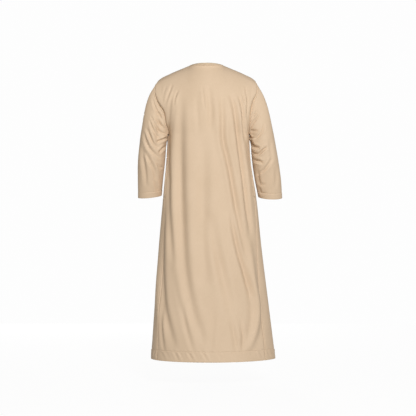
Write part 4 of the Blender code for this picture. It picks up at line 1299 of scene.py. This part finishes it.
def bridged(points, outline, hole, flip):
    """Triangles between an outline and a round hole inside it, matched by direction."""
    middle = points[hole].mean(axis=0)
    angle = {n: math.atan2(*(points[n] - middle)[1::-1]) for n in outline + hole}
    around = sorted(outline, key=angle.get)
    inner = sorted(hole, key=angle.get)
    faces = []
    i = j = 0
    while i < len(around) or j < len(inner):
        a, b = around[i % len(around)], inner[j % len(inner)]
        next_a = angle[around[(i + 1) % len(around)]] + (2 * math.pi if i + 1 >= len(around) else 0)
        next_b = angle[inner[(j + 1) % len(inner)]] + (2 * math.pi if j + 1 >= len(inner) else 0)
        if j >= len(inner) or (i < len(around) and next_a <= next_b):
            faces.append((b, a, around[(i + 1) % len(around)]))
            i += 1
        else:
            faces.append((b, a, inner[(j + 1) % len(inner)]))
            j += 1
    return [face[::-1] for face in faces] if flip else faces


def tube_between(start, end, rise, radius, sides, steps):
    """A small arched tube from one point to another, closed at both ends."""
    side = unit(np.cross(rise, unit(end - start)))
    lift = unit(rise)
    points = []
    for step in range(steps + 1):
        share = step / steps
        centre = start + (end - start) * share + rise * 4 * share * (1 - share)
        for turn in 2 * math.pi * np.arange(sides) / sides:
            points.append(centre + radius * (side * math.cos(turn) + lift * math.sin(turn)))
    faces = []
    for step in range(steps):
        for i in range(sides):
            k = (i + 1) % sides
            low = step * sides
            faces.append((low + i, low + sides + i, low + sides + k, low + k))
    faces.append(tuple(range(sides)))
    faces.append(tuple(range(steps * sides, (steps + 1) * sides))[::-1])
    return points, faces


button_face = plain_material("button_resin_look", (0.50, 0.37, 0.24), 0.30, 260.0, 0.00004)
sewing_thread = plain_material("sewing_thread", (0.50, 0.37, 0.25), 0.70, 900.0, 0.00006)
spine = placket_grid[:, len(across) // 2]
spine_facing = placket_normals[:, len(across) // 2]
order = np.argsort(spine[:, 2])
button_points, button_faces = button_shape()
thread_points, thread_faces = [], []
thread_low = BUTTON_HEIGHT * BUTTON_PROFILE["high"][0] - THREAD_SINK
for way, arch in THREAD_RISE.items():
    start = np.array([HOLE_OFFSET, way * HOLE_OFFSET, thread_low])
    end = np.array([-HOLE_OFFSET, -way * HOLE_OFFSET, thread_low])
    lift = np.array([0.0, 0.0, arch])
    more, sides = tube_between(start, end, lift, THREAD_RADIUS, THREAD_SIDES, THREAD_STEPS)
    thread_faces += [tuple(n + len(thread_points) for n in face) for face in sides]
    thread_points += more
for number in range(1, BUTTONS + 1):
    level = [BUTTON_TOP_Z - BUTTON_SPACING * (number - 1)]
    ahead = unit(row_at(spine_facing[order], spine[order, 2], level)[0])
    side = unit(np.cross(ahead, (0.0, 0.0, 1.0)))
    turned_to = np.stack([side, -np.cross(side, ahead), ahead])
    spot = row_at(spine[order], spine[order, 2], level)[0] + ahead * BUTTON_LIFT
    points = spot + button_points @ turned_to
    button = made_of(f"button_face_{number}", points, button_faces, button_face)
    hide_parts(f"button_{number}")
    points = spot + np.array(thread_points) @ turned_to
    made_of(f"button_thread_{number}", points, thread_faces, sewing_thread)


# Stitching
# Rows of short stitches in matching thread: along the turned hem and cuffs,
# beside the gore, armhole and shoulder seams, and round the placket.

STITCH_LENGTH = 0.0026
STITCH_PITCH = 0.0034
STITCH_RADIUS = 0.00022
STITCH_RISE = 0.00022
STITCH_BED = 0.4            # share of a stitch's radius that lies in the cloth
STITCH_SIDES = 4
STITCH_STEPS = 2
STITCH_LIFT = 0.0001        # how far the band's stitches stand off its face
BAND_STITCH = 0.22          # share of the band's height where they run
PLACKET_EDGE = 4            # columns from the placket's edge to its stitches
PLACKET_BARS = (2, 8)       # rows of the stitches across its lower end


def crossing(grid, normals, distance, wanted):
    """Where each column of a grid passes a rising distance, and its normals there."""
    both = np.concatenate([grid, normals], axis=2)
    passed = np.array([row_at(both[:, j], distance[:, j], [wanted])[0] for j in range(grid.shape[1])])
    return passed[:, :3], passed[:, 3:]


def stitches(name, paths):
    """One object of all the stitches along some paths of points and normals."""
    points = []
    faces = []
    for path, normals in paths:
        steps = np.linalg.norm(np.diff(path, axis=0), axis=1)
        run = np.concatenate([[0.0], np.cumsum(steps)])
        starts = np.arange(STITCH_PITCH / 2, run[-1] - STITCH_LENGTH, STITCH_PITCH)
        first = row_at(path, run, starts)
        last = row_at(path, run, starts + STITCH_LENGTH)
        facing = unit(row_at(normals, run, starts + STITCH_LENGTH / 2))
        for start, end, up in zip(first, last, facing):
            bed = up * STITCH_RADIUS * STITCH_BED
            more, sides = tube_between(
                start - bed, end - bed, up * STITCH_RISE, STITCH_RADIUS, STITCH_SIDES, STITCH_STEPS,
            )
            faces += [tuple(n + len(points) for n in face) for face in sides]
            points += more
    made_of(name, points, faces, sewing_thread)


hem_row = int(np.abs(skirt_levels() - HEM_Z - HEM_TURN).argmin())
panels = [(back_grid, back_normals), (front_grid, front_normals)]
gores = [(gore_grids[hand], gore_normals[hand]) for hand in ("left", "right")]
stitches("hem_stitches", [(grid[hem_row], normals[hem_row]) for grid, normals in panels + gores])

fell = GORE_EDGE_STEPS.index(FELL_WIDTH)
for hand in ("left", "right"):
    grid, normals = gore_grids[hand], gore_normals[hand]
    edges = [(grid[:, column], normals[:, column]) for column in (fell, -1 - fell)]
    stitches(f"gore_stitches_{hand}", edges)
    grid, normals = sleeve_grids[hand], sleeve_normals[hand]
    from_seam, from_cuff = sleeve_lengths[hand]
    armhole = crossing(grid, normals, from_seam, ARMHOLE_STITCH)
    cuff = crossing(grid[::-1], normals[::-1], from_cuff[::-1], CUFF_TURN)
    stitches(f"sleeve_stitches_{hand}", [armhole, cuff])

shoulder_paths = []
for grid, normals in panels:
    path, up = crossing(grid[::-1], normals[::-1], from_top(grid)[::-1], SHOULDER_STITCH)
    shoulder_paths.append((path[1:-1], up[1:-1]))
stitches("shoulder_stitches", shoulder_paths)

sides = (PLACKET_EDGE, -1 - PLACKET_EDGE)
bar = slice(PLACKET_EDGE, -PLACKET_EDGE)
placket_paths = [(placket_grid[:, column], placket_normals[:, column]) for column in sides]
placket_paths += [(placket_grid[row, bar], placket_normals[row, bar]) for row in PLACKET_BARS]
stitches("placket_stitches", placket_paths)

band_path = neck_edge + band_rise * (BAND_HEIGHT * BAND_STITCH) + band_facing * STITCH_LIFT
stitches("neck_band_stitches", [(band_path, band_facing)])
